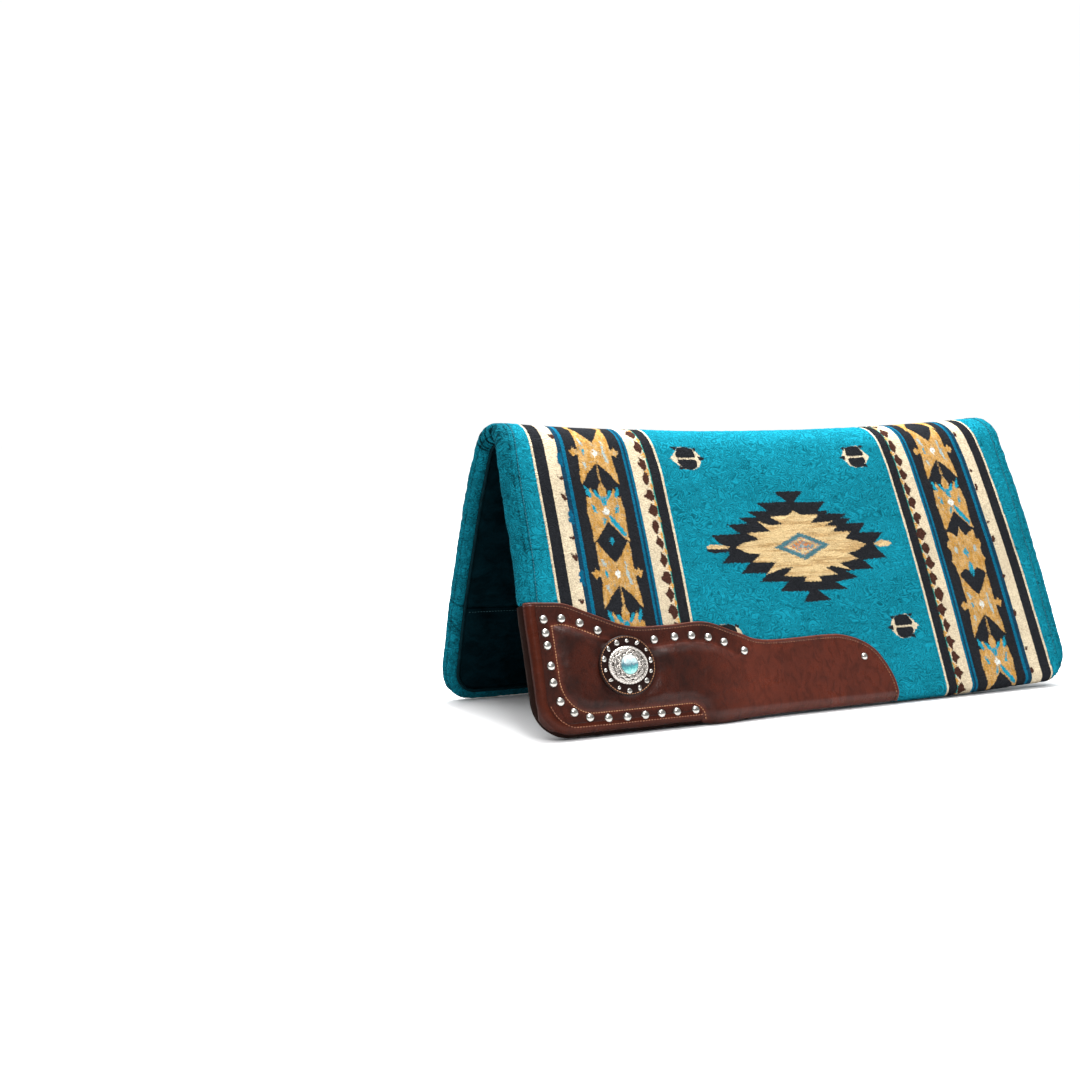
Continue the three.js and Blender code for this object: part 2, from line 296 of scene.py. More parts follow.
def shell(name, front, back, step, material, vectors):
    """A closed piece with a fine front and a back that keeps every step-th row and column."""
    rows, columns = front.shape[:2]
    behind = back[::step, ::step]
    many, few = behind.shape[:2]
    base = rows * columns
    faces = quads(rows, columns) + [f[::-1] for f in quads(many, few, base)]
    fine = lambda i, j: i * columns + j
    rough = lambda i, j: base + i * few + j
    for i in range(many - 1):
        for j, k in ((0, 0), (columns - 1, few - 1)):
            edge = [fine(i * step + t, j) for t in range(step + 1)]
            faces.append([*edge, rough(i + 1, k), rough(i, k)])
    for j in range(few - 1):
        for i, k in ((0, 0), (rows - 1, many - 1)):
            edge = [fine(i, j * step + t) for t in range(step + 1)]
            faces.append([*edge, rough(k, j + 1), rough(k, j)])
    both = {k: np.vstack([v.reshape(-1, 3), v[::step, ::step].reshape(-1, 3)]) for k, v in vectors.items()}
    points = np.vstack([front.reshape(-1, 3), behind.reshape(-1, 3)])
    return make(name, points, faces, material, both)


def sweep(name, rings, material, vectors):
    """A closed section carried along a path, with both ends capped."""
    rows, columns = rings.shape[:2]
    index = np.arange(rows * columns).reshape(rows, columns)
    around = np.roll(index, -1, axis=1)
    faces = np.stack([index[:-1], index[1:], around[1:], around[:-1]], -1).reshape(-1, 4).tolist()
    faces += [index[0].tolist()[::-1], index[-1].tolist()]
    return make(name, rings, faces, material, vectors)


def tube(name, line, radius, sides, material, rest_scale=1.0):
    """A round cord along a line of points, in metres."""
    ahead = np.gradient(line, axis=0)
    ahead /= np.linalg.norm(ahead, axis=1)[:, None]
    up = np.tile([0.13, 0.21, 0.97], (len(line), 1))
    side = np.cross(ahead, up)
    side /= np.linalg.norm(side, axis=1)[:, None]
    up = np.cross(side, ahead)
    turn = np.linspace(0, 2 * math.pi, sides, endpoint=False)
    rings = (line[:, None] + radius * (np.cos(turn)[None, :, None] * side[:, None]
                                       + np.sin(turn)[None, :, None] * up[:, None]))
    run = np.concatenate([[0], np.cumsum(np.linalg.norm(np.diff(line, axis=0), axis=1))]) / MM
    rest = np.zeros(rings.shape)
    rest[..., 0] = run[:, None] * rest_scale
    rest[..., 1] = (turn * radius / MM)[None]
    return sweep(name, rings, material, {"rest": rest})


def lathe(profile, sides):
    """Points and faces of a closed turned shape, in millimetres. The profile runs from axis to axis."""
    turn = np.linspace(0, 2 * math.pi, sides, endpoint=False)
    inner = profile[1:-1]
    points = [(0, 0, profile[0][1])]
    for r, z in inner:
        points += [(r * math.cos(t), r * math.sin(t), z) for t in turn]
    points.append((0, 0, profile[-1][1]))
    last = len(points) - 1
    faces = [[0, 1 + (k + 1) % sides, 1 + k] for k in range(sides)]
    for i in range(len(inner) - 1):
        a, b = 1 + i * sides, 1 + (i + 1) * sides
        faces += [[a + k, a + (k + 1) % sides, b + (k + 1) % sides, b + k] for k in range(sides)]
    a = 1 + (len(inner) - 1) * sides
    faces += [[last, a + k, a + (k + 1) % sides] for k in range(sides)]
    return np.array(points), faces


def frame_at(side, x, s, h, heading=0.0):
    """Where a small piece stands on the outer face, and its three directions, the third one outward."""
    here = outer(side, x, s, h)
    along = outer(side, x + 0.5, s, h) - here
    down = outer(side, x, s + 0.5, h) - here
    out = np.cross(along, down) * (1 if side == "off" else -1)
    out = out / np.linalg.norm(out)
    along = along / np.linalg.norm(along)
    down = down - out * (down @ out)
    down = down / np.linalg.norm(down)
    first = along * math.cos(heading) + down * math.sin(heading)
    second = np.cross(out, first)
    return here, np.array([first, second, out])


def stamp(name, shape, frames, material):
    """One piece made of the same small shape at each frame."""
    points, faces = shape
    made, all_faces, rest = [], [], []
    for k, (here, axes) in enumerate(frames):
        made.append(here + (points * MM) @ axes)
        all_faces += [[v + k * len(points) for v in f] for f in faces]
        rest.append(points + np.array([k * 17.3, k * 5.1, 0]))
    return make(name, np.vstack(made), all_faces, material, {"rest": np.vstack(rest)})


def capsule(length, width, height):
    """A stitch: a short rounded thread lying along the first direction."""
    profile = [(0, -length / 2), (0.7, -0.42 * length), (1, -0.25 * length), (1, 0.25 * length),
               (0.7, 0.42 * length), (0, length / 2)]
    points, faces = lathe(profile, 8)
    points = points[:, [2, 0, 1]] * np.array([1, width / 2, height / 2])
    return points, faces


def stitches(name, side, line, height, material, pitch=4.0, length=3.0, slant=0.0):
    """A row of stitches along a line of places on the outer face. height gives how high the face is there."""
    run = np.linalg.norm(np.diff(line, axis=0), axis=1).sum()
    dots = even(np.asarray(line, float), max(int(run / pitch), 2))
    ahead = np.gradient(dots, axis=0)
    frames = []
    for (x, s), (dx, ds) in zip(dots, ahead):
        frames.append(frame_at(side, x, s, float(height(x, s)), math.atan2(ds, dx) + slant))
    return stamp(name, capsule(length, 1.25, 1.0), frames, material)


# ---------------------------------------------------------------- material helpers

class Look:
    """A node tree with short ways to add to it."""

    def __init__(self, name, **sockets):
        self.material = bpy.data.materials.new(name)
        self.material.use_nodes = True
        self.tree = self.material.node_tree
        self.shader = self.tree.nodes["Principled BSDF"]
        for key, value in sockets.items():
            self.shader.inputs[key.replace("_", " ")].default_value = value

    def add(self, kind, settings=None, **inputs):
        made = self.tree.nodes.new("ShaderNode" + kind)
        for key, value in (settings or {}).items():
            setattr(made, key, value)
        for key, value in inputs.items():
            self.put(made.inputs[key.replace("_", " ")], value)
        return made

    def put(self, socket, value):
        if isinstance(value, bpy.types.NodeSocket):
            self.tree.links.new(value, socket)
        else:
            socket.default_value = value

    def rest(self, key="rest"):
        return self.add("Attribute", {"attribute_name": key}).outputs["Vector"]

    def scaled(self, vector, factors):
        made = self.add("VectorMath", {"operation": "MULTIPLY"})
        self.put(made.inputs[0], vector)
        made.inputs[1].default_value = factors
        return made.outputs[0]

    def sum(self, operation, first, second=0.0, third=None, clamp=False):
        made = self.add("Math", {"operation": operation, "use_clamp": clamp})
        self.put(made.inputs[0], first)
        self.put(made.inputs[1], second)
        if third is not None:
            self.put(made.inputs[2], third)
        return made.outputs[0]

    def noise(self, vector, scale, detail=2.0, rough=0.5, distort=0.0):
        made = self.add("TexNoise", {}, Vector=vector, Scale=scale, Detail=detail, Roughness=rough,
                        Distortion=distort)
        return made.outputs["Fac"]

    def cells(self, vector, scale, feature="F1", random=1.0):
        made = self.add("TexVoronoi", {"feature": feature}, Vector=vector, Scale=scale, Randomness=random)
        return made.outputs["Distance"]

    def span(self, value, low, high, to_low=0.0, to_high=1.0):
        made = self.add("MapRange", {}, Value=value)
        for key, number in (("From Min", low), ("From Max", high), ("To Min", to_low), ("To Max", to_high)):
            made.inputs[key].default_value = number
        return made.outputs["Result"]

    def mix(self, factor, first, second, blend="MIX"):
        made = self.add("Mix", {"data_type": "RGBA", "blend_type": blend})
        self.put(made.inputs["Factor"], factor)
        for socket, value in ((made.inputs[6], first), (made.inputs[7], second)):
            self.put(socket, (*value, 1) if isinstance(value, tuple) else value)
        return made.outputs[2]

    def ramp(self, value, stops, step=False):
        made = self.add("ValToRGB", {}, Fac=value)
        ramp = made.color_ramp
        ramp.interpolation = "CONSTANT" if step else "LINEAR"
        ramp.elements.remove(ramp.elements[1])
        ramp.elements[0].position = stops[0][0]
        ramp.elements[0].color = (*stops[0][1], 1)
        for position, colour in stops[1:]:
            ramp.elements.new(position).color = (*colour, 1)
        return made.outputs["Color"]

    def bump(self, height, strength, size, below=None):
        made = self.add("Bump", {}, Height=height)
        made.inputs["Strength"].default_value = strength
        made.inputs["Distance"].default_value = size * MM
        if below is not None:
            self.put(made.inputs["Normal"], below)
        return made.outputs["Normal"]

    def done(self, colour, roughness=None, normal=None):
        self.put(self.shader.inputs["Base Color"], colour)
        if roughness is not None:
            self.put(self.shader.inputs["Roughness"], roughness)
        if normal is not None:
            self.put(self.shader.inputs["Normal"], normal)
        return self.material


TEAL = (0.0044, 0.158, 0.219)
INK_TEAL = (0.010, 0.19, 0.27)
BLACK = (0.0118, 0.0128, 0.0150)
CREAM = (0.47, 0.395, 0.275)
SAND = (0.47, 0.345, 0.175)
GOLD = (0.335, 0.175, 0.040)
BROWN = (0.042, 0.017, 0.012)
BLUE = (0.006, 0.030, 0.055)
BLUE_LIT = (0.003, 0.085, 0.15)
ORANGE = (0.40, 0.20, 0.04)
GREEN = (0.02, 0.20, 0.17)
WHITE = (0.50, 0.52, 0.48)
MEDALLION_TEAL = (0.045, 0.115, 0.135)
NOTCH_BLUE = (0.003, 0.07, 0.13)

# The woven ground, by distance from the middle of the pattern to front or rear: where each stripe begins.
CENTRE = 435.3
# The depth of every ink where the cloth is plain and shows no ground stripes either.
PLAIN_CLOTH = -30.0
FIELD_END = 192.8
BORDER = 385.0
GROUND = [
    (0, TEAL), (FIELD_END, CREAM), (196.4, BLACK), (211.3, GREEN), (214.0, CREAM), (238.6, BLUE_LIT),
    (241.6, BLUE), (245.0, BLUE_LIT), (249.4, BLACK), (335.8, BLUE_LIT), (339.5, BLUE), (347.3, CREAM),
    (366.0, BLACK), (381.5, CREAM), (BORDER, TEAL),
]
# The zones in which an ink takes another colour: past the field, in the figured band and outside it.
FLECK_ZONE = 200.0
BAND_ZONE = 250.0
EDGE_ZONE = 325.0
BAND_MIDDLE = 293.0


def woven_top():
    """The outer cloth.

    The attribute weave holds the place in the pattern and, third, how dark the cloth is painted: painted
    shade on the borders and turned edges that face away from the lamps and along their folds, and dark seam
    lines.
    The attributes inks and accents hold the depth of each ink of the pattern.
    """
    look = Look("woven_top", Roughness=1.0, Specular_IOR_Level=0.015)
    weave = look.rest("weave")
    axes = look.add("SeparateXYZ", {}, Vector=weave)
    flat = look.scaled(weave, (1.0, 1.0, 0.0))
    first = look.add("SeparateXYZ", {}, Vector=look.rest("inks"))
    second = look.add("SeparateXYZ", {}, Vector=look.rest("accents"))
    yarn = look.noise(flat, 0.75, 1.0, 0.6)
    pick = look.noise(look.scaled(flat, (0.25, 1.0, 1.0)), 0.9, 1.0)
    ragged = look.sum("ADD", look.span(yarn, 0.25, 0.75, -0.8, 0.8), look.span(pick, 0.3, 0.7, -0.8, 0.8))
    shifted = look.sum("MULTIPLY_ADD", ragged, 0.45, axes.outputs["X"])
    away = look.sum("ABSOLUTE", look.sum("SUBTRACT", shifted, CENTRE))
    colour = look.ramp(look.sum("DIVIDE", away, DROP), [(p / DROP, c) for p, c in GROUND], True)
    unpatterned = look.sum("LESS_THAN", first.outputs["X"], PLAIN_CLOTH + 10)
    colour = look.mix(unpatterned, colour, TEAL)
    in_flecks = look.sum("GREATER_THAN", away, FLECK_ZONE)
    in_band = look.sum("GREATER_THAN", away, BAND_ZONE)
    in_edge = look.sum("GREATER_THAN", away, EDGE_ZONE)
    down = look.sum("ABSOLUTE", axes.outputs["Y"])
    in_corners = look.sum("GREATER_THAN", look.sum("ABSOLUTE", look.sum("SUBTRACT", down, 200.0)), 95.0)
    in_middle = look.sum("LESS_THAN", look.sum("ABSOLUTE", look.sum("SUBTRACT", away, BAND_MIDDLE)), 7.5)

    swirl = look.noise(look.scaled(flat, (0.75, 1.0, 1.0)), 0.055, 1.0, 0.5, 0.9)
    lines = look.sum("SINE", look.sum("MULTIPLY", swirl, 92.0))
    wave = look.noise(look.scaled(flat, (0.35, 1.0, 1.0)), 0.055, 2.0, 0.5, 0.6)
    wave = look.sum("ABSOLUTE", look.sum("SUBTRACT", wave, 0.5))
    broad = look.noise(flat, 0.012, 2.0)
    plain = look.sum("ADD", look.sum("LESS_THAN", away, FIELD_END), look.sum("GREATER_THAN", away, BORDER))
    # Painted shade in the valleys of the embossed swirls and along soft wavy folds, on the plain cloth only.
    furrow_shade = look.sum("ADD", look.span(lines, -1.0, 0.3, 0.42, -0.08), look.span(wave, 0.0, 0.022, 0.22, 0.0))
    furrow_shade = look.sum("MULTIPLY", furrow_shade, look.sum("MAXIMUM", plain, unpatterned))
    colour = tinted(look, colour, look.sum("SUBTRACT", look.span(broad, 0.3, 0.7, 0.93, 1.1), furrow_shade))

    cloudy = look.noise(look.scaled(flat, (1.0, 0.4, 1.0)), 0.16, 3.0)
    speck = look.noise(look.scaled(flat, (1.0, 0.5, 1.0)), 0.33, 2.0, 0.6, 0.5)
    streak = look.noise(look.scaled(flat, (0.10, 1.0, 1.0)), 0.16, 3.0, 0.6)
    gold = look.mix(look.span(cloudy, 0.42, 0.62), GOLD, (0.40, 0.245, 0.092))
    gold = look.mix(look.span(speck, 0.56, 0.66, 0.0, 0.5), gold, (0.23, 0.255, 0.215))
    gold = look.mix(look.span(speck, 0.30, 0.40, 0.6, 0.0), gold, (0.22, 0.10, 0.03))
    rust = look.mix(look.span(speck, 0.44, 0.54), (0.11, 0.19, 0.21), (0.38, 0.15, 0.055))
    sand = look.mix(look.span(streak, 0.46, 0.60, 0.0, 0.8), SAND, (0.30, 0.185, 0.075))
    loose = look.sum("MULTIPLY_ADD", look.span(speck, 0.3, 0.7, -1.0, 1.0), 0.8, ragged)
    blues = look.mix(in_edge, INK_TEAL, NOTCH_BLUE)
    inks = (
        (first.outputs["X"], look.mix(in_flecks, BLACK, BROWN), 0.9),
        (first.outputs["Y"], look.mix(in_corners, sand, CREAM), 0.9),
        (first.outputs["Z"], look.mix(in_corners, rust, BLACK), 0.6),
        (second.outputs["X"], look.mix(in_band, look.mix(in_flecks, sand, ORANGE), gold), 0.9),
        (second.outputs["Y"], look.mix(in_band, MEDALLION_TEAL, blues), 1.3),
        (second.outputs["Z"], look.mix(in_middle, (0.25, 0.31, 0.30), WHITE), 1.3),
    )
    for depth, ink, frayed in inks:
        edge = look.span(look.sum("MULTIPLY_ADD", loose, frayed, depth), -0.35, 0.35)
        colour = look.mix(edge, colour, ink)

    thread = look.cells(look.scaled(flat, (0.75, 1.0, 1.0)), 0.62, "F1", 0.85)
    # Painted shade: weave's third value darkens the cloth, broken up by a noise like a plush nap.
    nap = look.noise(flat, 0.05, 1.5, 0.5, 0.6)
    nap = look.sum("MULTIPLY", axes.outputs["Z"], look.span(nap, 0.36, 0.64, 0.78, 0.48))
    # Painted shade of the weave's relief: each thread is lighter in its middle and darker at its edges.
    shade = look.sum("SUBTRACT", look.span(thread, 0.0, 0.8, 1.16, 0.66), nap)
    # Painted light: the cloth is painted up to 1.3 times brighter towards the crest, under the top lamp.
    shade = look.sum("MULTIPLY", shade, look.span(down, 15.0, 110.0, 1.3, 1.0))
    colour = tinted(look, colour, look.sum("MAXIMUM", shade, 0.06))
    normal = look.bump(lines, 0.55, 0.6)
    normal = look.bump(thread, -0.7, 0.7, normal)
    return look.done(colour, look.span(yarn, 0.3, 0.7, 0.9, 1.0), normal)


def tinted(look, colour, shade):
    grey = look.add("CombineColor", {}, Red=shade, Green=shade, Blue=shade)
    return look.mix(1.0, colour, grey.outputs["Color"], "MULTIPLY")


def lining_cloth():
    look = Look("lining_cloth", Roughness=0.95, Specular_IOR_Level=0.01)
    rest = look.rest()
    nap = look.noise(look.scaled(rest, (0.6, 1.0, 1.0)), 0.05, 4.0, 0.6, 0.6)
    tuft = look.noise(rest, 0.7, 2.0)
    colour = look.ramp(nap, [(0.32, (0.0003, 0.0026, 0.0036)), (0.7, (0.0008, 0.0085, 0.012))])
    normal = look.bump(tuft, 0.5, 0.6, look.bump(nap, 0.6, 3.0))
    return look.done(colour, look.span(tuft, 0.3, 0.7, 0.75, 0.95), normal)


def felt_cloth():
    look = Look("felt_cloth", Roughness=1.0, Specular_IOR_Level=0.1)
    rest = look.rest()
    fibre = look.noise(rest, 0.8, 4.0, 0.7, 1.0)
    colour = look.ramp(fibre, [(0.3, (0.16, 0.16, 0.15)), (0.7, (0.34, 0.34, 0.32))])
    return look.done(colour, None, look.bump(fibre, 0.5, 0.6))


def cord_cloth():
    look = Look("cord_cloth", Roughness=0.8, Specular_IOR_Level=0.02)
    rest = look.rest()
    grain = look.cells(rest, 0.9)
    tone = look.noise(rest, 0.08, 2.0)
    colour = look.ramp(tone, [(0.3, (0.0006, 0.005, 0.007)), (0.7, (0.0015, 0.013, 0.017))])
    return look.done(colour, look.span(grain, 0.0, 0.8, 0.5, 0.7), look.bump(grain, 0.4, 0.3))


def leather(name, lit, deep, gloss, shine, wear_and_painted_light=(0.15, 0.04, 0.02)):
    """Waxed leather, from its lit to its deep colour.

    The attribute tone says how deep the colour is, painted shade on the rolled strip's edges, and, second,
    how far it goes to its rubbed colour, which is wear and, on the rolled strip's bead, a painted highlight.
    """
    look = Look(name, Specular_IOR_Level=shine)
    rest = look.rest()
    tone = look.add("SeparateXYZ", {}, Vector=look.rest("tone"))
    cloud = look.noise(rest, 0.022, 4.0, 0.6, 0.5)
    pull = look.noise(look.scaled(rest, (1.0, 0.5, 1.0)), 0.11, 3.0, 0.65, 1.0)
    grain = look.cells(rest, 0.95)
    pore = look.noise(rest, 1.6, 2.0)
    depth = look.sum("ADD", tone.outputs["X"], look.span(cloud, 0.3, 0.7, -0.2, 0.2), clamp=True)
    colour = look.mix(depth, lit, deep)
    colour = look.mix(look.span(pull, 0.45, 0.65, 0.0, 0.35), colour, tuple(0.6 * v for v in deep))
    # Rubbed colour: wear, and on the rolled strip's bead a painted highlight.
    wear_and_highlight = look.sum("MULTIPLY", tone.outputs["Y"], look.span(pore, 0.3, 0.7, 0.3, 1.0))
    colour = look.mix(wear_and_highlight, colour, wear_and_painted_light)
    crease = look.cells(look.scaled(rest, (0.7, 1.0, 1.0)), 0.13, "DISTANCE_TO_EDGE")
    crease = look.sum("MULTIPLY", look.span(crease, 0.0, 0.05, 1.0, 0.0), look.span(cloud, 0.42, 0.56))
    fine = look.noise(look.scaled(rest, (0.6, 1.0, 1.0)), 0.32, 3.0, 0.6, 1.5)
    normal = look.bump(crease, -0.5, 0.8, look.bump(pull, 0.6, 1.2))
    normal = look.bump(fine, 0.45, 0.5, normal)
    normal = look.bump(grain, 0.4, 0.24, normal)
    rough = look.span(grain, 0.0, 0.8, gloss, gloss + 0.12)
    rough = look.sum("ADD", rough, look.span(cloud, 0.3, 0.7, -0.08, 0.12))
    return look.done(colour, rough, normal)


def thread(name, pale, dark):
    look = Look(name, Roughness=0.75, Specular_IOR_Level=0.3)
    rest = look.rest()
    twist = look.add("TexWave", {"bands_direction": "DIAGONAL"}, Vector=rest, Scale=0.9)
    tone = look.noise(rest, 0.12, 2.0)
    colour = look.mix(look.span(tone, 0.3, 0.7), dark, pale)
    return look.done(colour, None, look.bump(twist.outputs["Fac"], 0.4, 0.2))


def nickel():
    look = Look("nickel", Metallic=1.0, Roughness=0.2)
    rest = look.rest()
    smear = look.noise(rest, 0.16, 2.0)
    fine = look.noise(rest, 2.5, 2.0)
    colour = look.ramp(smear, [(0.3, (0.27, 0.26, 0.24)), (0.7, (0.43, 0.415, 0.39))])
    return look.done(colour, look.span(smear, 0.3, 0.7, 0.2, 0.3), look.bump(fine, 0.03, 0.1))


def old_silver():
    """Cast silver, dark in the hollows: the attribute tone says how deep a place lies."""
    look = Look("old_silver", Metallic=1.0, Roughness=0.3)
    tone = look.add("SeparateXYZ", {}, Vector=look.rest("tone"))
    rest = look.rest()
    smear = look.noise(rest, 0.8, 3.0)
    depth = look.sum("ADD", tone.outputs["X"], look.span(smear, 0.3, 0.7, -0.15, 0.15), clamp=True)
    stops = [(0.1, (0.42, 0.39, 0.36)), (0.45, (0.19, 0.17, 0.15)), (0.8, (0.016, 0.012, 0.010))]
    colour = look.ramp(depth, stops)
    return look.done(colour, look.span(depth, 0.0, 1.0, 0.2, 0.6), look.bump(smear, 0.15, 0.2))


def turquoise():
    look = Look("turquoise", Roughness=0.1, Specular_IOR_Level=0.4)
    rest = look.rest()
    axes = look.add("SeparateXYZ", {}, Vector=rest)
    cloud = look.noise(rest, 0.14, 3.0, 0.6, 1.2)
    vein = look.noise(look.scaled(rest, (1.0, 0.5, 1.0)), 0.3, 4.0, 0.6, 2.0)
    fall = look.sum("SUBTRACT", look.span(cloud, 0.3, 0.7, -3.5, 3.5), axes.outputs["Y"])
    colour = look.ramp(look.span(fall, -11.0, 11.0), [
        (0.08, (0.42, 0.50, 0.50)), (0.32, (0.30, 0.40, 0.41)), (0.5, (0.05, 0.11, 0.14)),
        (0.62, (0.04, 0.19, 0.21)), (0.78, (0.08, 0.32, 0.31)), (0.98, (0.24, 0.50, 0.46))])
    colour = look.mix(look.span(vein, 0.6, 0.72, 0.0, 0.35), colour, (0.10, 0.16, 0.15))
    return look.done(colour, None, look.bump(cloud, 0.05, 0.4))


def foam_sponge():
    look = Look("foam_sponge", Roughness=1.0)
    rest = look.rest()
    cell = look.cells(rest, 1.2)
    colour = look.ramp(cell, [(0.1, (0.32, 0.30, 0.24)), (0.6, (0.55, 0.52, 0.44))])
    return look.done(colour, None, look.bump(cell, 0.6, 0.5))


# ---------------------------------------------------------------- the woven pattern

def pattern_place(side, x, s):
    """Where a point of the cloth is in the woven pattern: across its stripes, and down them.

    The stripes lean a little on the pad and bend over the crest.
    """
    seen = ahead_of(side, x, s) + 2.3 + 6 * (1 - smooth(s, 10, 95)) * smooth(x, 110, 240)
    seen = seen + 3.0 * smooth(x, 560, 700)
    across = seen - (0.005 + 0.11 * (seen / LENGTH) ** 2) * (s - 200)
    return across, s - (1.2 + 2.2 * (1 - smooth(s, 40, 140))) * smooth(s, 0, 30)


class Inks:
    """How deep each point of the cloth lies in each ink of the pattern.

    The depth is in millimetres and below zero outside the ink.
    """

    def __init__(self, p, s):
        self.p, self.s = p, s
        self.depth = {k: np.full(p.shape, -9.0) for k in ("dark", "light", "over", "gold", "teal", "white")}

    def shape(self, ink, outline, at=(0, 0), flip=(1, 1)):
        line = np.array(outline, float) * flip + at
        low, high = line.min(0) - 6, line.max(0) + 6
        near = (self.p > low[0]) & (self.p < high[0]) & (self.s > low[1]) & (self.s < high[1])
        p, s = self.p[near], self.s[near]
        if not p.size:
            return
        ring = np.vstack([line, line[:1]])
        away = distance(p, s, ring)
        inside = np.zeros(p.shape, bool)
        for (ax, ay), (bx, by) in zip(ring[:-1], ring[1:]):
            if ay != by:
                inside ^= ((ay > s) != (by > s)) & (p < (bx - ax) * (s - ay) / (by - ay) + ax)
        self.depth[ink][near] = np.maximum(self.depth[ink][near], np.where(inside, away, -away))

    def mirrored(self, ink, outline, at):
        for across in (1, -1):
            self.shape(ink, outline, at, (across, 1))

    def vectors(self):
        d = self.depth
        return (np.stack([d["dark"], d["light"], d["over"]], -1),
                np.stack([d["gold"], d["teal"], d["white"]], -1))


# The gold figures of the side bands, each a list of (ink, mirrored or not, outline round its middle).
FIGURES = {
    "wings": [
        ("gold", True, [(0, -15), (9, -24), (16, -34), (24.5, -46), (25.5, -30), (25, -12), (25.5, 12),
                        (28, 30), (28.5, 47), (22.5, 40), (17, 31), (8, 22), (0, 15)]),
        ("gold", True, [(24, -4), (29, -4.5), (31, -8.5), (33.5, -4.5), (38, -2.5), (36, 1), (33, 6.5),
                        (29, 3), (24, 4)]),
        ("white", False, [(13, -17), (16, -16), (15.5, -4), (18, 6), (18.5, 15), (15.5, 15), (12.5, 3)]),
        ("white", False, [(-22, -21), (-18, -20), (-14, -11), (-16, -9), (-20, -13)]),
        ("teal", False, [(-19, -4), (-15, -5), (-14.5, 3), (-17, 5)]),
        ("white", False, [(-21, 15), (-17, 14), (-16, 22), (-19, 24)]),
        ("white", True, [(0, -6.5), (5, 0), (0, 6.5)]),
    ],
    "crown": [
        ("gold", True, [(0, -46), (3, -38), (6.5, -30), (5.5, -26), (9, -21), (14, -27), (17, -34),
                        (19.5, -30), (22, -20), (26, -21), (26.5, -10), (28.5, 0), (27, 12), (26, 30),
                        (27, 42), (22.5, 40), (14, 30), (0, 14)]),
        ("gold", True, [(0, -68), (1.3, -60), (2, -46), (0, -44)]),
        ("teal", True, [(25.5, -37), (21, -33), (16.5, -22), (19.5, -18), (24, -25)]),
        ("teal", True, [(14, -31), (9.5, -29), (3.5, -21), (5, -17), (10, -20)]),
        ("teal", True, [(0, -21), (5, -19), (3, -9), (0, -8)]),
        ("teal", True, [(20, -12), (15, -5), (13.5, 2), (18.5, 1)]),
        ("teal", False, [(2, 5), (6, 5), (15, 17), (24, 31), (23, 36), (16, 31), (5, 15)]),
        ("teal", False, [(-2, 6), (-5, 7), (-8, 18), (-4, 16)]),
        ("white", True, [(0, -6.5), (6, 0), (0, 6.5)]),
    ],
    "leaf": [
        ("gold", True, [(0, -39), (3, -32), (8, -25), (11, -26), (15, -30), (24, -34), (25, -30), (24, -20),
                        (30, -18), (31, -10), (27, -4), (27, 4), (31, 12), (27, 20), (26, 30), (24, 36),
                        (21, 30), (11, 24), (6, 27), (0, 29)]),
        ("teal", True, [(0, -8), (5, 0), (0, 8)]),
        ("teal", True, [(0, 12), (4, 22), (4.5, 30), (0, 38)]),
        ("white", True, [(14, -8), (19, -10), (20, -3), (16, 2)]),
    ],
}

# Where the figures stand: the middle of each band, then each figure's kind and how far down it is.
FRONT_BAND = 142.5
REAR_BAND = 728.5
BAND_FIGURES = {
    FRONT_BAND: [("wings", -28), ("wings", 57), ("crown", 142.5),
                 ("wings", 228), ("crown", 312), ("wings", 397)],
    REAR_BAND: [("wings", -17), ("wings", 65), ("crown", 150),
                ("leaf", 228), ("wings", 308), ("crown", 394)],
}

# The chains of flecks beside the field: the middle of each chain, and the way its flecks point.
CHAINS = ((214.5, 1), (655.5, -1))
CHAIN_PITCH = 23.4
FLECK = [(-7.5, 0.5), (-4.5, -3.5), (-1.5, -8.5), (3, -6), (5.5, 0), (3.5, 5), (0, 9), (-4, 4)]

# The dark flecks of the cream stripes, each how far down and how tall, and the bites in the blue stripe.
DASHES = ((34, 5.5), (95, 3), (122, 6), (178, 2.5), (204, 6), (262, 3.5), (318, 5), (372, 3), (405, 5))
FRONT_CREAM = 83.0
REAR_CREAM = 784.5
BITES = (-15, 68, 150, 232, 314, 396)
BITE = [(5, -11), (0, -9), (-3, -4), (-1.5, 0), (-3.2, 5), (0.5, 9), (5, 11)]


def bands(inks):
    """The figured bands at front and rear."""
    for band, figures in BAND_FIGURES.items():
        for kind, down in figures:
            for ink, twice, outline in FIGURES[kind]:
                put = inks.mirrored if twice else inks.shape
                put(ink, outline, (band, down))
    inks.mirrored("teal", [(0, 177), (4.5, 183.5), (0, 190)], (FRONT_BAND, 0))


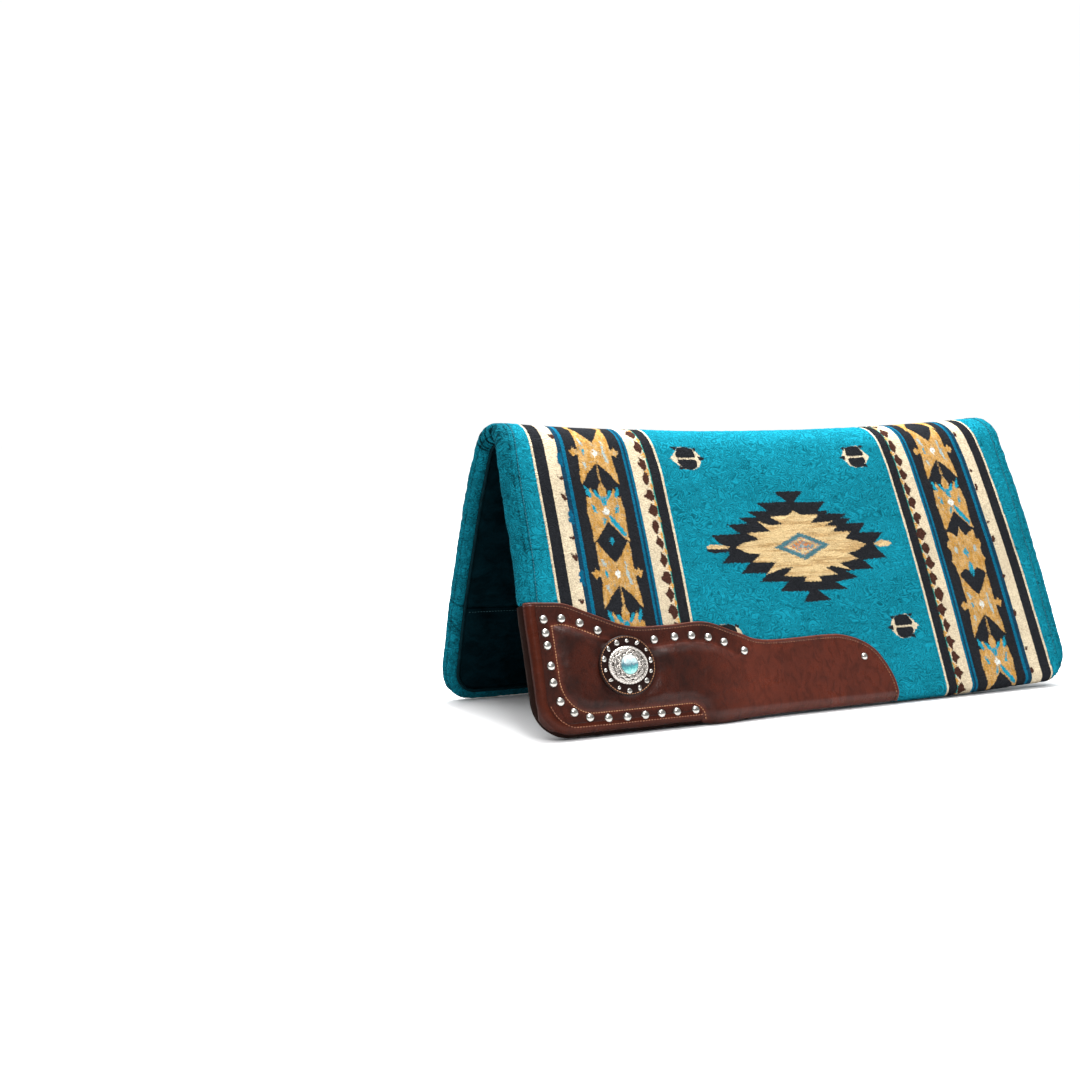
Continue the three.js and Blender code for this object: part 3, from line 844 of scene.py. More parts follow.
def flecks(inks):
    """The chains of flecks, the dashes and the bites that break up the plain stripes."""
    arrow = np.array(FLECK)
    chance = np.random.RandomState(7)
    for k in range(19):
        down = 1.5 + CHAIN_PITCH * k
        for middle, way in CHAINS:
            rough = 1.22 * arrow * (way * chance.uniform(0.85, 1.15), 1)
            rough = rough + chance.uniform(-1.8, 1.8, arrow.shape)
            at = (middle + chance.uniform(-1, 1), down + chance.uniform(-1.5, 1.5) + (4 if way < 0 else 0))
            inks.shape("dark", rough, at)
            edge = at[0] + 5.5 * way
            tall = chance.uniform(3, 6)
            low = at[1] + 12
            inks.shape("gold", [(edge - 1.6, at[1] + 11 - tall), (edge + 1.8, at[1] + 9),
                                (edge + 2, at[1] + 13 + 0.6 * tall), (edge - 1.2, low + tall)])
            inks.shape("gold", [(edge - 5 * way, low), (edge - 2 * way, at[1] + 9.5),
                                (edge - 3.5 * way, at[1] + 14.5)])
    for down, tall in DASHES:
        lean = 1.5 * math.sin(down)
        wide = [(-4, -tall), (1, -0.4 * tall), (3.5, -tall), (5, 0.6 * tall), (1, tall + 1), (-3, 0)]
        slim = [(-3, 0.7 * tall), (-1, -0.8 * tall), (2.5, -tall), (4, 0), (1, tall), (-1, tall)]
        inks.shape("dark", wide, (FRONT_CREAM + lean, down))
        inks.shape("dark", slim, (REAR_CREAM + lean, down + 8))
    for down in BITES:
        inks.shape("teal", BITE, (87.5, down))


# The stepped medallion in the middle of the field, its dark ring and the sand-coloured one inside it.
MEDALLION = (441.0, 200.5)
DARK_RING = [
    (417, 117.5), (468, 117.5), (448.5, 133), (450, 134.5), (501.4, 135.5), (483, 149), (502.8, 150),
    (496, 154), (533, 155.4), (520, 162), (538, 163), (526, 170), (561, 171), (545, 185), (588, 186.5),
    (574, 197), (566, 204), (572, 214), (583.5, 225), (541, 226), (553.3, 240), (506, 241),
    (524.5, 251.5), (484, 256), (502.4, 267.5), (452, 266), (471, 281.7), (423, 281.7), (437, 267),
    (388, 264), (406, 251), (359, 249.2), (377, 237), (332.2, 236), (350, 221), (305.3, 219.8),
    (320, 208), (322, 199), (308, 191), (297.6, 179), (345, 178), (326.4, 164), (362, 164), (346, 155),
    (378, 155), (364.5, 146), (399, 146), (383.5, 134), (435, 133),
]
SAND_RING = [
    (332.8, 198.3), (344.7, 192.9), (373.5, 188), (356.2, 178), (395.7, 177), (378.3, 161), (396, 168),
    (418.7, 167), (400.5, 155), (431, 154), (441.8, 147.7), (452, 154), (484, 155), (465.8, 167),
    (487, 167), (504.3, 165.4), (489, 172), (511, 174), (497.6, 181.3), (530.3, 183.3), (518.7, 192.9),
    (540, 198), (552.4, 203.5), (538, 210), (515.8, 215), (532.2, 223.7), (497.6, 228.5), (516.8, 240),
    (487, 232.3), (472.6, 233.3), (489.9, 244.8), (458, 245.4), (462, 253.5), (430.3, 252.5),
    (439, 245.4), (400.8, 242.9), (418.7, 230.4), (400.5, 231.3), (373.5, 239), (392.8, 221.7),
    (354.3, 220.4), (372.2, 208.8), (352.4, 207.3),
]
EYE = [
    ("over", [(0, -17), (38, 0), (0, 17)]),
    ("teal", [(0, -20.5), (46.5, 0), (0, 20.5), (0, 14), (32, 0), (0, -14)]),
    ("gold", [(0, -12.5), (29, 0), (0, 12.5), (0, 9.5), (22, 0), (0, -9.5)]),
    ("light", [(2, -7), (17, 0), (2, 7), (8, 0)]),
    ("gold", [(0, 3), (5, 5), (2, 9), (0, 9)]),
    ("white", [(0, -3.5), (3.5, 0), (0, 3.5)]),
]


def medallion(inks):
    """The rings, the darts at their ends and the small stepped eye in the middle."""
    inks.shape("dark", DARK_RING, (-1.5, 0))
    inks.shape("light", SAND_RING, (-1.5, 0))
    inks.shape("gold", [(564, 203), (578, 198), (590, 200), (598, 204), (588, 208), (572, 208)])
    inks.shape("gold", [(283, 198), (290, 193), (304, 193), (322, 196), (318, 199), (296, 199)])
    inks.shape("dark", [(284, 199), (300, 196), (324, 196), (322, 204), (296, 205), (287, 203)])
    for ink, outline in EYE:
        inks.mirrored(ink, outline, MEDALLION)


# The four small motifs round the medallion: across, down, and which way each one faces.
CORNERS = ((286.3, 63.5, 1), (578.4, 67, -1), (581, 327.5, -1), (290, 322, 1))
CORNER_MOTIF = [
    ("light", [(-25, 0), (-13, -12), (-9, -17), (3, -17.5), (17, -13.5), (26, 0), (17, 13.5), (6, 17.5),
               (-8, 16.5)]),
    ("over", [(-14, -1.2), (-16, -6), (-9.5, -16), (4, -18), (14.5, -14), (16.5, -4), (15, -1.2)]),
    ("over", [(-13.5, 1.4), (-15, 7), (-7.5, 15.8), (4, 18), (14.5, 13.5), (16.5, 5), (14, 1.4)]),
    ("over", [(19, -4), (31, 0.3), (21, 5)]),
    ("over", [(-22, -18), (-9, -17.5), (-14, -12.5)]),
    ("over", [(-16, 18), (-13.5, 11), (-4, 16)]),
    ("over", [(14, -17), (22, -15), (17, -10)]),
]


def border_seams(x, s):
    """How far each place is from the two cross seams of the front border."""
    return s - 194 - 0.5 * ripple(x / 9, 0, 5), s - 92 - 0.25 * x


def weave_vectors(side, x, s):
    """The attributes of the outer cloth at each place: see woven_top."""
    p, q = pattern_place(side, x, s)
    inks = Inks(p, q)
    bands(inks)
    flecks(inks)
    medallion(inks)
    for across, down, way in CORNERS:
        for ink, outline in CORNER_MOTIF:
            inks.shape(ink, outline, (across, down), (way, 1))
    first, second = inks.vectors()
    # Painted shade: the front border, which faces away from the lamps, is darkest near the crest, and the
    # rear border is a little darker; the dark seam rows come after.
    front = 0.60 * (1 - smooth(x, 8, 36)) * (1 - 0.65 * smooth(s, 150, 250))
    rear = 0.22 * (1 - smooth(LENGTH - x, 10, 36))
    dark = front + rear + 0 * p
    end = np.minimum(x, LENGTH - x)
    rows = bell(end - 20.5, 1.0) + 0.7 * bell(end - 12.0, 0.9)
    straight, slanting = border_seams(x, s)
    rows = rows + (x < 48) * (bell(straight, 1.1) + 0.7 * bell(slanting, 1.1))
    dark = dark + 0.45 * rows
    return {"weave": np.stack([p, -SIDES[side] * q, dark], -1), "inks": first, "accents": second}


# ---------------------------------------------------------------- the soft pad

# Heights over the outer face at which the layers inside the pad begin and end.
BLANKET_BACK = -4.6
BINDING_BACK = -4.8
FELT_FACE = -5.2
FELT_BACK = -17.4
LINING_BACK = -17.9


def bend(piece):
    """Bakes the piece's placement into its mesh."""
    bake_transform(piece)


def with_crest(side, *nodes):
    """The crest's nodes, which are part of one length with the near side's layer."""
    return nodes if side == "near" else ()


def crumple(x, s, seed, long=9.0, wide=5.0):
    """Puckers of quilted cloth: short wandering ridges, from -1 to 1."""
    warp_x = x + 6 * ripple(x / 23, s / 19, seed + 5)
    warp_s = s + 6 * ripple(x / 21, s / 25, seed + 6)
    fine = 1 - 2.4 * np.abs(ripple(warp_x / long, warp_s / wide, seed))
    coarse = 1 - 2.2 * np.abs(ripple(warp_x / 31, warp_s / 14, seed + 1))
    return 0.55 * fine + 0.45 * coarse


def cloth_relief(side, x, s, away):
    """The quilted relief of the outer cloth. away is the distance from the middle of the pattern."""
    seed = 11 if side == "near" else 31
    plain = np.where((away < 193) | (away > 385), 1.0, 0.25)
    h = plain * 0.55 * crumple(x, s, seed)
    h += 0.5 * ripple(x / 60, s / 45, seed + 9) + 0.3 * ripple(x / 26, s / 17, seed + 10) * plain
    for inset, depth in ((20.5, 0.9), (12.0, 0.5)):
        end = np.minimum(np.abs(x - inset), np.abs(LENGTH - x - inset))
        h -= depth * bell(end, 1.3) * (s < DROP - 40)
    straight, slanting = border_seams(x, s)
    h -= 0.8 * bell(straight, 1.3) * (x > 20) * (x < 48)
    h -= 0.6 * bell(slanting, 1.3) * (x < 48)
    h -= 0.7 * bell(s - 105 - 0.1 * (LENGTH - x), 1.4) * (x > LENGTH - 40)
    return h


def top_blanket(side, material):
    """The patterned cloth, with a net fine enough to carry the pattern and a back six times coarser."""
    step = 6
    x = np.linspace(17, LENGTH - 17, 70 * step + 1)[:, None]
    s = np.linspace(0, DROP - 17, 36 * step + 1)[None, :]
    x, s = np.broadcast_arrays(x, s)
    margin = np.minimum(np.minimum(x, LENGTH - x), DROP - s)
    vectors = weave_vectors(side, x, s)
    relief = cloth_relief(side, x, s, np.abs(vectors["weave"][..., 0] - CENTRE))
    h = relief - 1.0 * (1 - smooth(margin, 17.5, 20.0))
    front, back = outer(side, x, s, h), outer(side, x, s, BLANKET_BACK)
    piece = shell(side + "_top_blanket", front, back, step, material, vectors)
    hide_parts(side + "_blanket", side + "_fold_blanket", *with_crest(side, "crest_blanket"))
    bend(piece)


def felt_core(side, material):
    x = np.linspace(19, LENGTH - 19, 43)[:, None]
    s = np.linspace(0, DROP - 19, 43)[None, :]
    x, s = np.broadcast_arrays(x, s)
    front, back = outer(side, x, s, FELT_FACE), place(side, x, s, FELT_BACK)
    piece = shell(side + "_felt_core", front, back, 1, material, {"rest": np.stack([x, s, 0 * x], -1)})
    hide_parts(side + "_felt", side + "_fold_felt", *with_crest(side, "crest_felt"))
    bend(piece)


# Folds across the turned edge, by their run down from the crest: how each leans, for the painted shade along
# it, and how deep it is.
FOLD_SHADE_LINES = ((2.0, 0.1), (15.0, 0.3), (27.0, 0.5), (41.0, 0.3), (276.0, 0.2))
DEEP_FOLDS = ((15.0, 2.2), (27.0, 1.6), (41.0, 1.0), (276.0, 1.2))


def edge_binding(side, material):
    """The cloth turned round the pad's edge and sewn down on both faces."""
    path = rim_path(0.0, None, 2.2)
    run = path[4][:, None]
    face_end, back_end = -(SEAM_INSET - EDGE), HALF_TURN + 3.4
    u = np.linspace(face_end, back_end, 34)[None, :]
    reach = CORNER - EDGE + u
    x = path[0][:, None] + path[2][:, None] * reach
    s = path[1][:, None] + path[3][:, None] * reach
    vectors = weave_vectors(side, x, s)
    relief = cloth_relief(side, x, s, np.abs(vectors["weave"][..., 0] - CENTRE))
    around = smooth(u, 2, 12)
    turned_in = (0 * x + (u > 20.0))[..., None] > 0
    for key in ("inks", "accents"):
        vectors[key] = np.where(turned_in, PLAIN_CLOTH, vectors[key])
    last_run = run[-1, 0]
    # Painted shade on the turned edge, which faces away from the lamps: more over the crest at front and at
    # rear, and along the folds across it.
    wear_and_painted_light = 0.50 + 0.32 * (1 - smooth(run, 0, 80)) + 0.4 * (1 - smooth(last_run - run, 60, 120))
    turned = smooth(u, 4, 20)
    fold_shade = sum(bell(run - at - lean * u, 1.6) for at, lean in FOLD_SHADE_LINES)
    dark = vectors["weave"][..., 2] * (1 - turned) + (wear_and_painted_light + 0.7 * fold_shade) * turned
    vectors["weave"][..., 2] = dark + 0.4 * bell(u - 27.0, 1.0)
    seed = 51 if side == "near" else 61
    puff = 0.8 * around * crumple(run, u, seed, 8.0, 7.0) - 0.7 * around * bell(u - 27.0, 1.2)
    h = relief * (1 - around) + puff + 0.3
    h -= 1.0 * (1 - smooth(u - face_end, 0, 1.8)) + 1.4 * (1 - smooth(back_end - u, 0, 2.5))
    if side == "near":
        covered = smooth(run, 258, 264) * (1 - smooth(run, 925, 942))
        h = h * (1 - covered) - (1.0 + 2.8 * around) * covered
    h -= bell(run - 1.0, 4.0) * 3.6 * smooth(u, 3, 13)
    for at, depth in DEEP_FOLDS:
        h -= depth * bell(run - at - 0.25 * u, 2.2) * smooth(u, 6, 16)
    inner_u = np.linspace(back_end, face_end, 10)[None, :]
    u_all = np.concatenate([np.broadcast_to(u, h.shape), np.broadcast_to(inner_u, (len(run), 10))], axis=1)
    h_all = np.concatenate([h, np.full((len(run), 10), BINDING_BACK)], axis=1)
    rings = rim(side, path, u_all, h_all)
    behind = {k: np.concatenate([v, np.repeat(v[:, :1], 10, axis=1)], axis=1) for k, v in vectors.items()}
    piece = sweep(side + "_turned_edge", rings, material, behind)
    nodes = [side + "_edge_binding", side + "_fold_front_binding", side + "_fold_rear_binding"]
    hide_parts(*nodes, *with_crest(side, "crest_front_binding", "crest_rear_binding"))
    bend(piece)


def bottom_edge(x, inset):
    """How far down the pad's outline reaches at x, for an outline moved in by inset."""
    beside = np.maximum(np.maximum(CORNER - x, x - (LENGTH - CORNER)), 0)
    radius = CORNER - inset
    return DROP - CORNER + np.sqrt(np.maximum(radius**2 - beside**2, 0))


def inner_sheet(side, name, node, inset, top, bottom, lift, material, rows=70, columns=45):
    """A layer on the inner face, from top to bottom or to the pad's outline."""
    t = 0.5 - 0.5 * np.cos(np.linspace(0, math.pi, rows))
    t = 0.5 * t + 0.5 * np.linspace(0, 1, rows)
    x = (inset + (LENGTH - 2 * inset) * t)[:, None]
    v = np.linspace(0, 1, columns)[None, :]
    low = bottom_edge(x, inset) if bottom is None else np.full(x.shape, bottom)
    s = top + (low - top) * v
    x, s = np.broadcast_arrays(x, s)
    seed = 71 if side == "near" else 81
    puff = 0.8 * ripple(x / 34, s / 30, seed) + 0.6 * ripple(x / 15, s / 19, seed + 1)
    margin = np.minimum(np.minimum(x - inset, LENGTH - inset - x), (low - s))
    w = -THICK - lift - puff * smooth(margin, 0, 12) + 1.2 * (1 - smooth(margin, 0, 4))
    inner = place(side, x, s, w)
    behind = place(side, x, s, LINING_BACK)
    piece = shell(name, inner, behind, 1, material, {"rest": np.stack([x, s, 0 * x], -1)})
    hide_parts(*node)
    return piece


def lining(side, cloth, thread_dark):
    nodes = [side + "_lining", side + "_fold_lining", *with_crest(side, "crest_lining")]
    piece = inner_sheet(side, side + "_lining_cloth", nodes, PIPING_INSET + 1.5, 0, INNER_PANEL_TOP, 0, cloth)
    bend(piece)
    panel = inner_sheet(side, side + "_inner_reinforcement", [side + "_inner_panel"], PIPING_INSET + 1.5,
                        INNER_PANEL_TOP + 0.8, None, 0.8, cloth, 70, 24)
    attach(panel, side + "_flank")
    frames = []
    for x in np.arange(PIPING_INSET + 8, LENGTH - PIPING_INSET - 8, 4.4):
        here = place(side, x, INNER_PANEL_TOP + 5, -THICK - 1.2)
        along = place(side, x + 1, INNER_PANEL_TOP + 5, -THICK - 1.2) - here
        down = place(side, x, INNER_PANEL_TOP + 6, -THICK - 1.2) - here
        along, down = along / np.linalg.norm(along), down / np.linalg.norm(down)
        frames.append((here, np.array([along, down, np.cross(along, down)])))
    row = stamp(side + "_inner_stitching", capsule(3.0, 1.0, 0.8), frames, thread_dark)
    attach(row, side + "_flank")


def piping(side, material):
    path = rim_path(0.0, None, 3.0)
    u = np.array([[HALF_TURN + PIPING_INSET - EDGE]])
    wander = 0.6 * ripple(path[4][:, None] / 60, 0.0, 91)
    line = rim(side, path, u + wander, np.full((len(path[4]), 1), 0.6))[:, 0]
    piece = tube(side + "_piping_cord", line, PIPING_RADIUS * MM, 10, material)
    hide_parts(side + "_piping")
    bend(piece)


def seam_stitching(side, material):
    """The rows that sew the turned edge down on the outer face, at front and rear."""
    for name, x in (("front", SEAM_INSET + 1.5), ("rear", LENGTH - SEAM_INSET - 1.5)):
        line = np.array([(x, s) for s in np.linspace(2, 428, 90)])
        piece = stitches(f"{side}_{name}_seam_stitching", side, line, lambda x, s: 0.1, material,
                         4.2, 3.2, 0.15)
        bend(piece)


# ---------------------------------------------------------------- the wear leather

TOP_LINE = curve(LEATHER_TOP, 260)
PANEL_LINE = np.vstack([
    curve(PANEL_TOP, 120)[::-1],
    [(PANEL_LEFT, 294), (PANEL_LEFT, PANEL_BOTTOM - PANEL_CORNER)],
    [(PANEL_LEFT + PANEL_CORNER * (1 - math.cos(t)), PANEL_BOTTOM - PANEL_CORNER * (1 - math.sin(t)))
     for t in np.linspace(0.1, math.pi / 2, 12)],
    [(ROLL_END - 18, PANEL_BOTTOM)],
    [(ROLL_END - 18 + 20 * math.sin(t), PANEL_BOTTOM + 24 * (1 - math.cos(t)))
     for t in np.linspace(0.15, 1.4, 8)],
])


def inside_panel(x, s):
    """How far a point lies inside the raised panel, below zero outside it. The panel is open to the rear."""
    top = np.interp(x, *np.array(PANEL_TOP, float).T)
    beside = np.maximum(PANEL_LEFT + PANEL_CORNER - x, 0)
    low = PANEL_BOTTOM - PANEL_CORNER + np.sqrt(np.maximum(PANEL_CORNER**2 - beside**2, 0))
    low = np.where(x > ROLL_END - 18, low + 30 * smooth(x, ROLL_END - 18, ROLL_END + 4), low)
    inside = (x > PANEL_LEFT) & (s > top) & (s < low)
    away = distance(x, s, PANEL_LINE)
    return np.where(inside, away, -away)


def leather_height(x, s):
    """The height of the wear leather over the pad's outer face.

    The padded panel swells, is drawn in round the concho's leather and wrinkles. The leather dips round
    each stud and has a raised lip along its top edge.
    """
    x, s = np.broadcast_arrays(np.asarray(x, float), np.asarray(s, float))
    deep = inside_panel(x, s)
    far = np.hypot(x - CONCHO[0], s - CONCHO[1])
    rearward = 1 - smooth(x, 255, 350)
    filling = 5.4 * smooth(deep, -1.5, 17) ** 0.8 * rearward
    h = 2.3 + filling - 0.6 * bell(deep, 1.5) * rearward
    h -= 2.8 * bell(np.maximum(far - ROUNDEL_RADIUS, 0), 8.0) * smooth(far, 30, 42) * smooth(deep, 0, 6)
    h += 0.9 * bell(far - 62, 9.0) * smooth(deep, 4, 14) * smooth(x, 120, 170)
    h += 0.9 * ripple(x / 31, s / 19, 21) * smooth(deep, 0, 10) * (1 - 0.6 * smooth(x, 200, 330))
    h += 0.35 * ripple(x / 11 + s / 23, s / 9 - x / 29, 22) * smooth(deep, 0, 6) * rearward
    h += 0.8 * ripple(x / 75, s / 60, 24) * smooth(x, 300, 380)
    h += 1.6 * bell(np.hypot(x - 325, 1.4 * (s - 349)), 14) - 1.0 * bell(np.hypot(x - 314, s - 347), 7)
    for sx, ss in [*STUDS, REAR_STUD]:
        gap = np.hypot(x - sx, s - ss)
        h -= 0.9 * bell(gap, 6.5) * (gap < 20)
    lip = distance(x, s, TOP_LINE)
    h += 1.0 * bell(lip - 2.6, 2.0) - 0.6 * bell(lip - 6.0, 1.0)
    return h


def wear_leather(side, material):
    """The skirt of leather on the lower front, with its waved and stitched top edge."""
    inset = 5.0 if side == "off" else 2.0
    first = np.searchsorted(TOP_LINE[:, 0], inset)
    rows = even(TOP_LINE[first:], 281)
    x = rows[:, :1]
    top = rows[:, 1:]
    beside = np.maximum(CORNER - x, 0)
    low = DROP - CORNER + np.sqrt(np.maximum((CORNER + 4) ** 2 - beside**2, 0))
    low = np.maximum(low, top + 0.6)
    v = np.linspace(0, 1, 121)[None, :]
    v = 0.75 * v + 0.25 * (0.5 - 0.5 * np.cos(math.pi * v))
    s = top + (low - top) * v
    x, s = np.broadcast_arrays(x, s)
    h = leather_height(x, s)
    lip = distance(x, s, np.vstack([TOP_LINE, [(553, 437)]]))
    edge = np.minimum(np.minimum(lip, low - s + 0.4), np.maximum(x - inset, 0) + 0.4)
    h = h - 2.0 * smooth(s, DROP - 14, DROP - 3)
    h = h * np.sqrt(np.clip(1 - (1 - np.clip(edge / 2.0, 0, 1)) ** 2, 0.02, 1))
    deep = inside_panel(x, s)
    front_part = 1 - smooth(x, 200, 345)
    tone = 0.22 + 0.62 * smooth(deep, -3, 8) * front_part
    tone = tone + 0.5 * smooth(-deep, 0, 5) * (1 - smooth(x, 290, 330))
    tone += 0.12 * smooth(x, 330, 380)
    wear = 0.7 * bell(lip, 1.9) + 0.25 * smooth(-edge, -1.2, 0)
    vectors = {"rest": np.stack([x, s, h], -1), "tone": np.stack([tone, wear, 0 * x], -1)}
    front, back = outer(side, x, s, h), outer(side, x, s, 0.1 - 1.8 * smooth(s, DROP - 14, DROP - 3))
    piece = shell(side + "_wear_leather_skirt", front, back, 1, material, vectors)
    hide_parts(side + "_wear_leather", side + "_padded_panel")
    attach(piece, side + "_flank")


def foam_filler(side, material):
    x = np.linspace(44, 300, 65)[:, None]
    top = np.interp(x, *np.array(PANEL_TOP, float).T) + 9
    v = np.linspace(0, 1, 25)[None, :]
    beside = np.maximum(PANEL_LEFT + PANEL_CORNER - x, 0)
    low = PANEL_BOTTOM - PANEL_CORNER + np.sqrt(np.maximum((PANEL_CORNER - 8) ** 2 - beside**2, 0))
    s = top + (low - top) * v
    x, s = np.broadcast_arrays(x, s)
    crown = np.maximum(leather_height(x, s) - 2.2, 1.0)
    front, back = outer(side, x, s, crown), outer(side, x, s, 0.5)
    piece = shell(side + "_foam_filler", front, back, 1, material, {"rest": np.stack([x, s, 0 * x], -1)})
    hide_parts(side + "_panel_foam")
    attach(piece, side + "_flank")


ROLL_RUN = (LEATHER_TOP[0][1] + 1, DROP - CORNER + (CORNER - EDGE) * math.pi / 2 + ROLL_END - CORNER)


def front_roll(side, material):
    """The rolled strip of leather on the front edge, round the corner and along the hem to its sewn end."""
    start, end = ROLL_RUN
    path = rim_path(start, end, 1.8)
    run = path[4][:, None]
    face = -4.5 + 2.0 * smooth(run, 340, 440)
    last = 13.0 - (0.0 if side == "near" else 4.5) * (1 - smooth(run, 360, 430))
    k = np.linspace(0, 1, 26)[None, :]
    u = face + (last - face) * k
    ends = np.minimum(smooth(run, start, start + 4), 1 - smooth(run, end - 6, end))
    bead = 2.5 * np.sqrt(np.clip(1 - ((k - 0.5) / 0.5) ** 2, 0, 1))
    h = 1.4 + bead + 0.2 * ripple(run / 13, 9 * k, 23) + 0.35 * ripple(run / 31, 2 * k, 27)
    h = h - 1.8 * smooth(u, 2, 13)
    h = -0.6 + (h + 0.6) * (0.2 + 0.8 * ends)
    inner_k = np.linspace(1, 0, 8)[None, :]
    u_all = np.concatenate([u, face + (last - face) * inner_k], axis=1)
    inside_u = face + (last - face) * inner_k
    h_all = np.concatenate([h, 0.1 - 3.0 * smooth(inside_u, 2, 12)], axis=1)
    rings = rim(side, path, u_all, h_all)
    rest = np.stack([np.broadcast_to(run, u_all.shape), u_all, h_all], -1)
    at = (u_all - face) / (last - face)
    # Painted shade on both edges of the strip, and a painted highlight, with some rubbing, along its bead.
    shaded = 0.1 + 0.8 * bell(at, 0.10) + 0.6 * smooth(at, 0.8, 1.0)
    wear_and_painted_light = 0.55 * bell(at - 0.42, 0.2)
    piece = sweep(side + "_front_roll", rings, material,
                  {"rest": rest, "tone": np.stack([shaded, wear_and_painted_light, 0 * shaded], -1)})
    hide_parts(side + "_leather_binding")
    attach(piece, side + "_flank")


def edge_backing(material):
    """The two dark layers between the rolled strip and the inner face, at the near front edge."""
    start, end = ROLL_RUN[0] + 2, ROLL_RUN[1] + 90
    path = rim_path(start, end, 2.6)
    run = path[4][:, None]
    k = np.linspace(0, 1, 24)[None, :]
    first, last = 12.0, HALF_TURN + 1.0
    u = first + (last - first) * k + 0 * run
    h = 0.7 - 2.0 * bell(k - 0.44, 0.045) + 0.25 * ripple(run / 9, 5 * k, 29)
    h = h * np.sqrt(np.clip(1 - (1 - np.clip(np.minimum(k, 1 - k) / 0.08, 0, 1)) ** 2, 0.02, 1))
    h = (h + 2.8) * (1 - smooth(run, end - 20, end)) - 2.8 + 0.2
    u_all = np.concatenate([u, u[:, ::-3]], axis=1)
    h_all = np.concatenate([h, np.full((len(run), u[:, ::-3].shape[1]), -3.4)], axis=1)
    rings = rim("near", path, u_all, h_all)
    rest = np.stack([0 * u_all + run, u_all, h_all], -1)
    tone = np.full((*u_all.shape, 3), 0.3)
    piece = sweep("near_edge_layers", rings, material, {"rest": rest, "tone": tone})
    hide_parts("near_edge_backing")
    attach(piece, "near_flank")


def leather_stitching(side, tan, russet, dim):
    """The sewn rows of the wear leather, each one a piece of thread work."""
    lip = offset_line(TOP_LINE[6:], 5.4)
    edge = lambda x, s: leather_height(x, s) + 0.15
    panel_top = curve(PANEL_TOP[:4], 60)
    rows = [
        stitches(side + "_top_stitching", side, lip, edge, russet),
        stitches(side + "_panel_stitching", side, PANEL_LINE[118:], edge, tan, 3.6, 2.7),
        stitches(side + "_panel_top_stitching", side, panel_top, edge, tan, 3.6, 2.7),
    ]
    corner = CORNER - 16.5
    turn = [(CORNER - corner * math.cos(t), DROP - CORNER + (corner + 4 * t) * math.sin(t))
            for t in np.linspace(0.35, math.pi / 2, 12)]
    last = turn[-1][1]
    hem = [(100, last + 0.5), (ROLL_END - 6, last + 0.5)]
    strip = even(np.array([*turn, *hem]), 150)
    rows.append(stitches(side + "_roll_stitching", side, strip, lambda x, s: 4.0, dim))
    for row in rows:
        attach(row, side + "_flank")


def offset_line(line, gap):
    """A line moved sideways, down the flank."""
    ahead = np.gradient(line, axis=0)
    ahead /= np.linalg.norm(ahead, axis=1)[:, None]
    return line + gap * np.column_stack([-ahead[:, 1], ahead[:, 0]])


# ---------------------------------------------------------------- metal

def stud_shape(radius, height, sides):
    """A domed stud with a thin foot that is sunk into the leather."""
    profile = [(0, -1.2), (0.5 * radius, -1.2), (radius, -0.6), (radius, 0.0), (0.97 * radius, 0.25)]
    profile += [(radius * math.cos(t) * 0.95, 0.25 + (height - 0.25) * math.sin(t))
                for t in np.linspace(0.15, math.pi / 2 - 0.12, 10)]
    profile.append((0, height))
    return lathe(profile, sides)


def studs(side, metal):
    """The studs stand on the leather, half a millimetre over it, each turned a little from the last."""
    seat = lambda x, s: float(leather_height(x, s)) + 0.5
    frames = [frame_at(side, x, s, seat(x, s), 0.7 * k) for k, (x, s) in enumerate(STUDS)]
    piece = stamp(side + "_dome_studs", STUD, frames, metal)
    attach(piece, side + "_flank")
    lone_frame = frame_at(side, *REAR_STUD, seat(*REAR_STUD))
    lone = stamp(side + "_tail_stud", TAIL_STUD, [lone_frame], metal)
    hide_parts(side + "_rear_stud")
    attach(lone, side + "_flank")


def disc(profile, rings, sides, relief, back):
    """A round cast piece: its height over a fine polar net, closed by a flat back."""
    turn = np.linspace(0, 2 * math.pi, sides, endpoint=False)[None, :]
    r = np.linspace(0, 1, rings)[1:, None] * profile[-1][0]
    z = np.interp(r, [p[0] for p in profile], [p[1] for p in profile])
    z, cover = relief(r, turn, z)
    x, y = r * np.cos(turn), r * np.sin(turn)
    net = np.stack([x, y, z], -1).reshape(-1, 3)
    count = rings - 1
    edge = np.stack([x[-1], y[-1], np.full(sides, back)], -1)
    points = np.vstack([[(0, 0, z[0].mean())], net, edge, [(0, 0, back)]])
    faces = [[0, 1 + k, 1 + (k + 1) % sides] for k in range(sides)]
    for i in range(count):
        a, b = 1 + i * sides, 1 + (i + 1) * sides
        faces += [[a + k, b + k, b + (k + 1) % sides, a + (k + 1) % sides] for k in range(sides)]
    a, last = 1 + count * sides, len(points) - 1
    faces += [[last, a + (k + 1) % sides, a + k] for k in range(sides)]
    tone = np.concatenate([[0], np.broadcast_to(cover, z.shape).ravel(), np.ones(sides), [1]])
    return points, faces, tone


def toned(name, points, faces, tone, frame_of, material, stretch=(1, 1, 1)):
    here, axes = frame_of
    placed = here + (points * np.array(stretch) * MM) @ axes
    zero = np.zeros(len(tone))
    vectors = {"rest": points, "tone": np.stack([tone, zero, zero], -1)}
    return make(name, placed, faces, material, vectors)


# The concho's round stands on the crown of the padded leather. Its parts are made round the middle,
# stretched to the slightly oval shape, and set at their own heights over that base.
ROUNDEL_BASE = 2.4 + 4.2
STUD = stud_shape(5.9, 3.6, 30)
TAIL_STUD = stud_shape(5.2, 3.3, 30)
SPOT = stud_shape(3.3, 1.9, 14)
BEAD = stud_shape(1.05, 1.3, 10)
STONE_SIZE = (12, 5.0)


def over_roundel(side, up):
    return frame_at(side, *CONCHO, ROUNDEL_BASE + up)


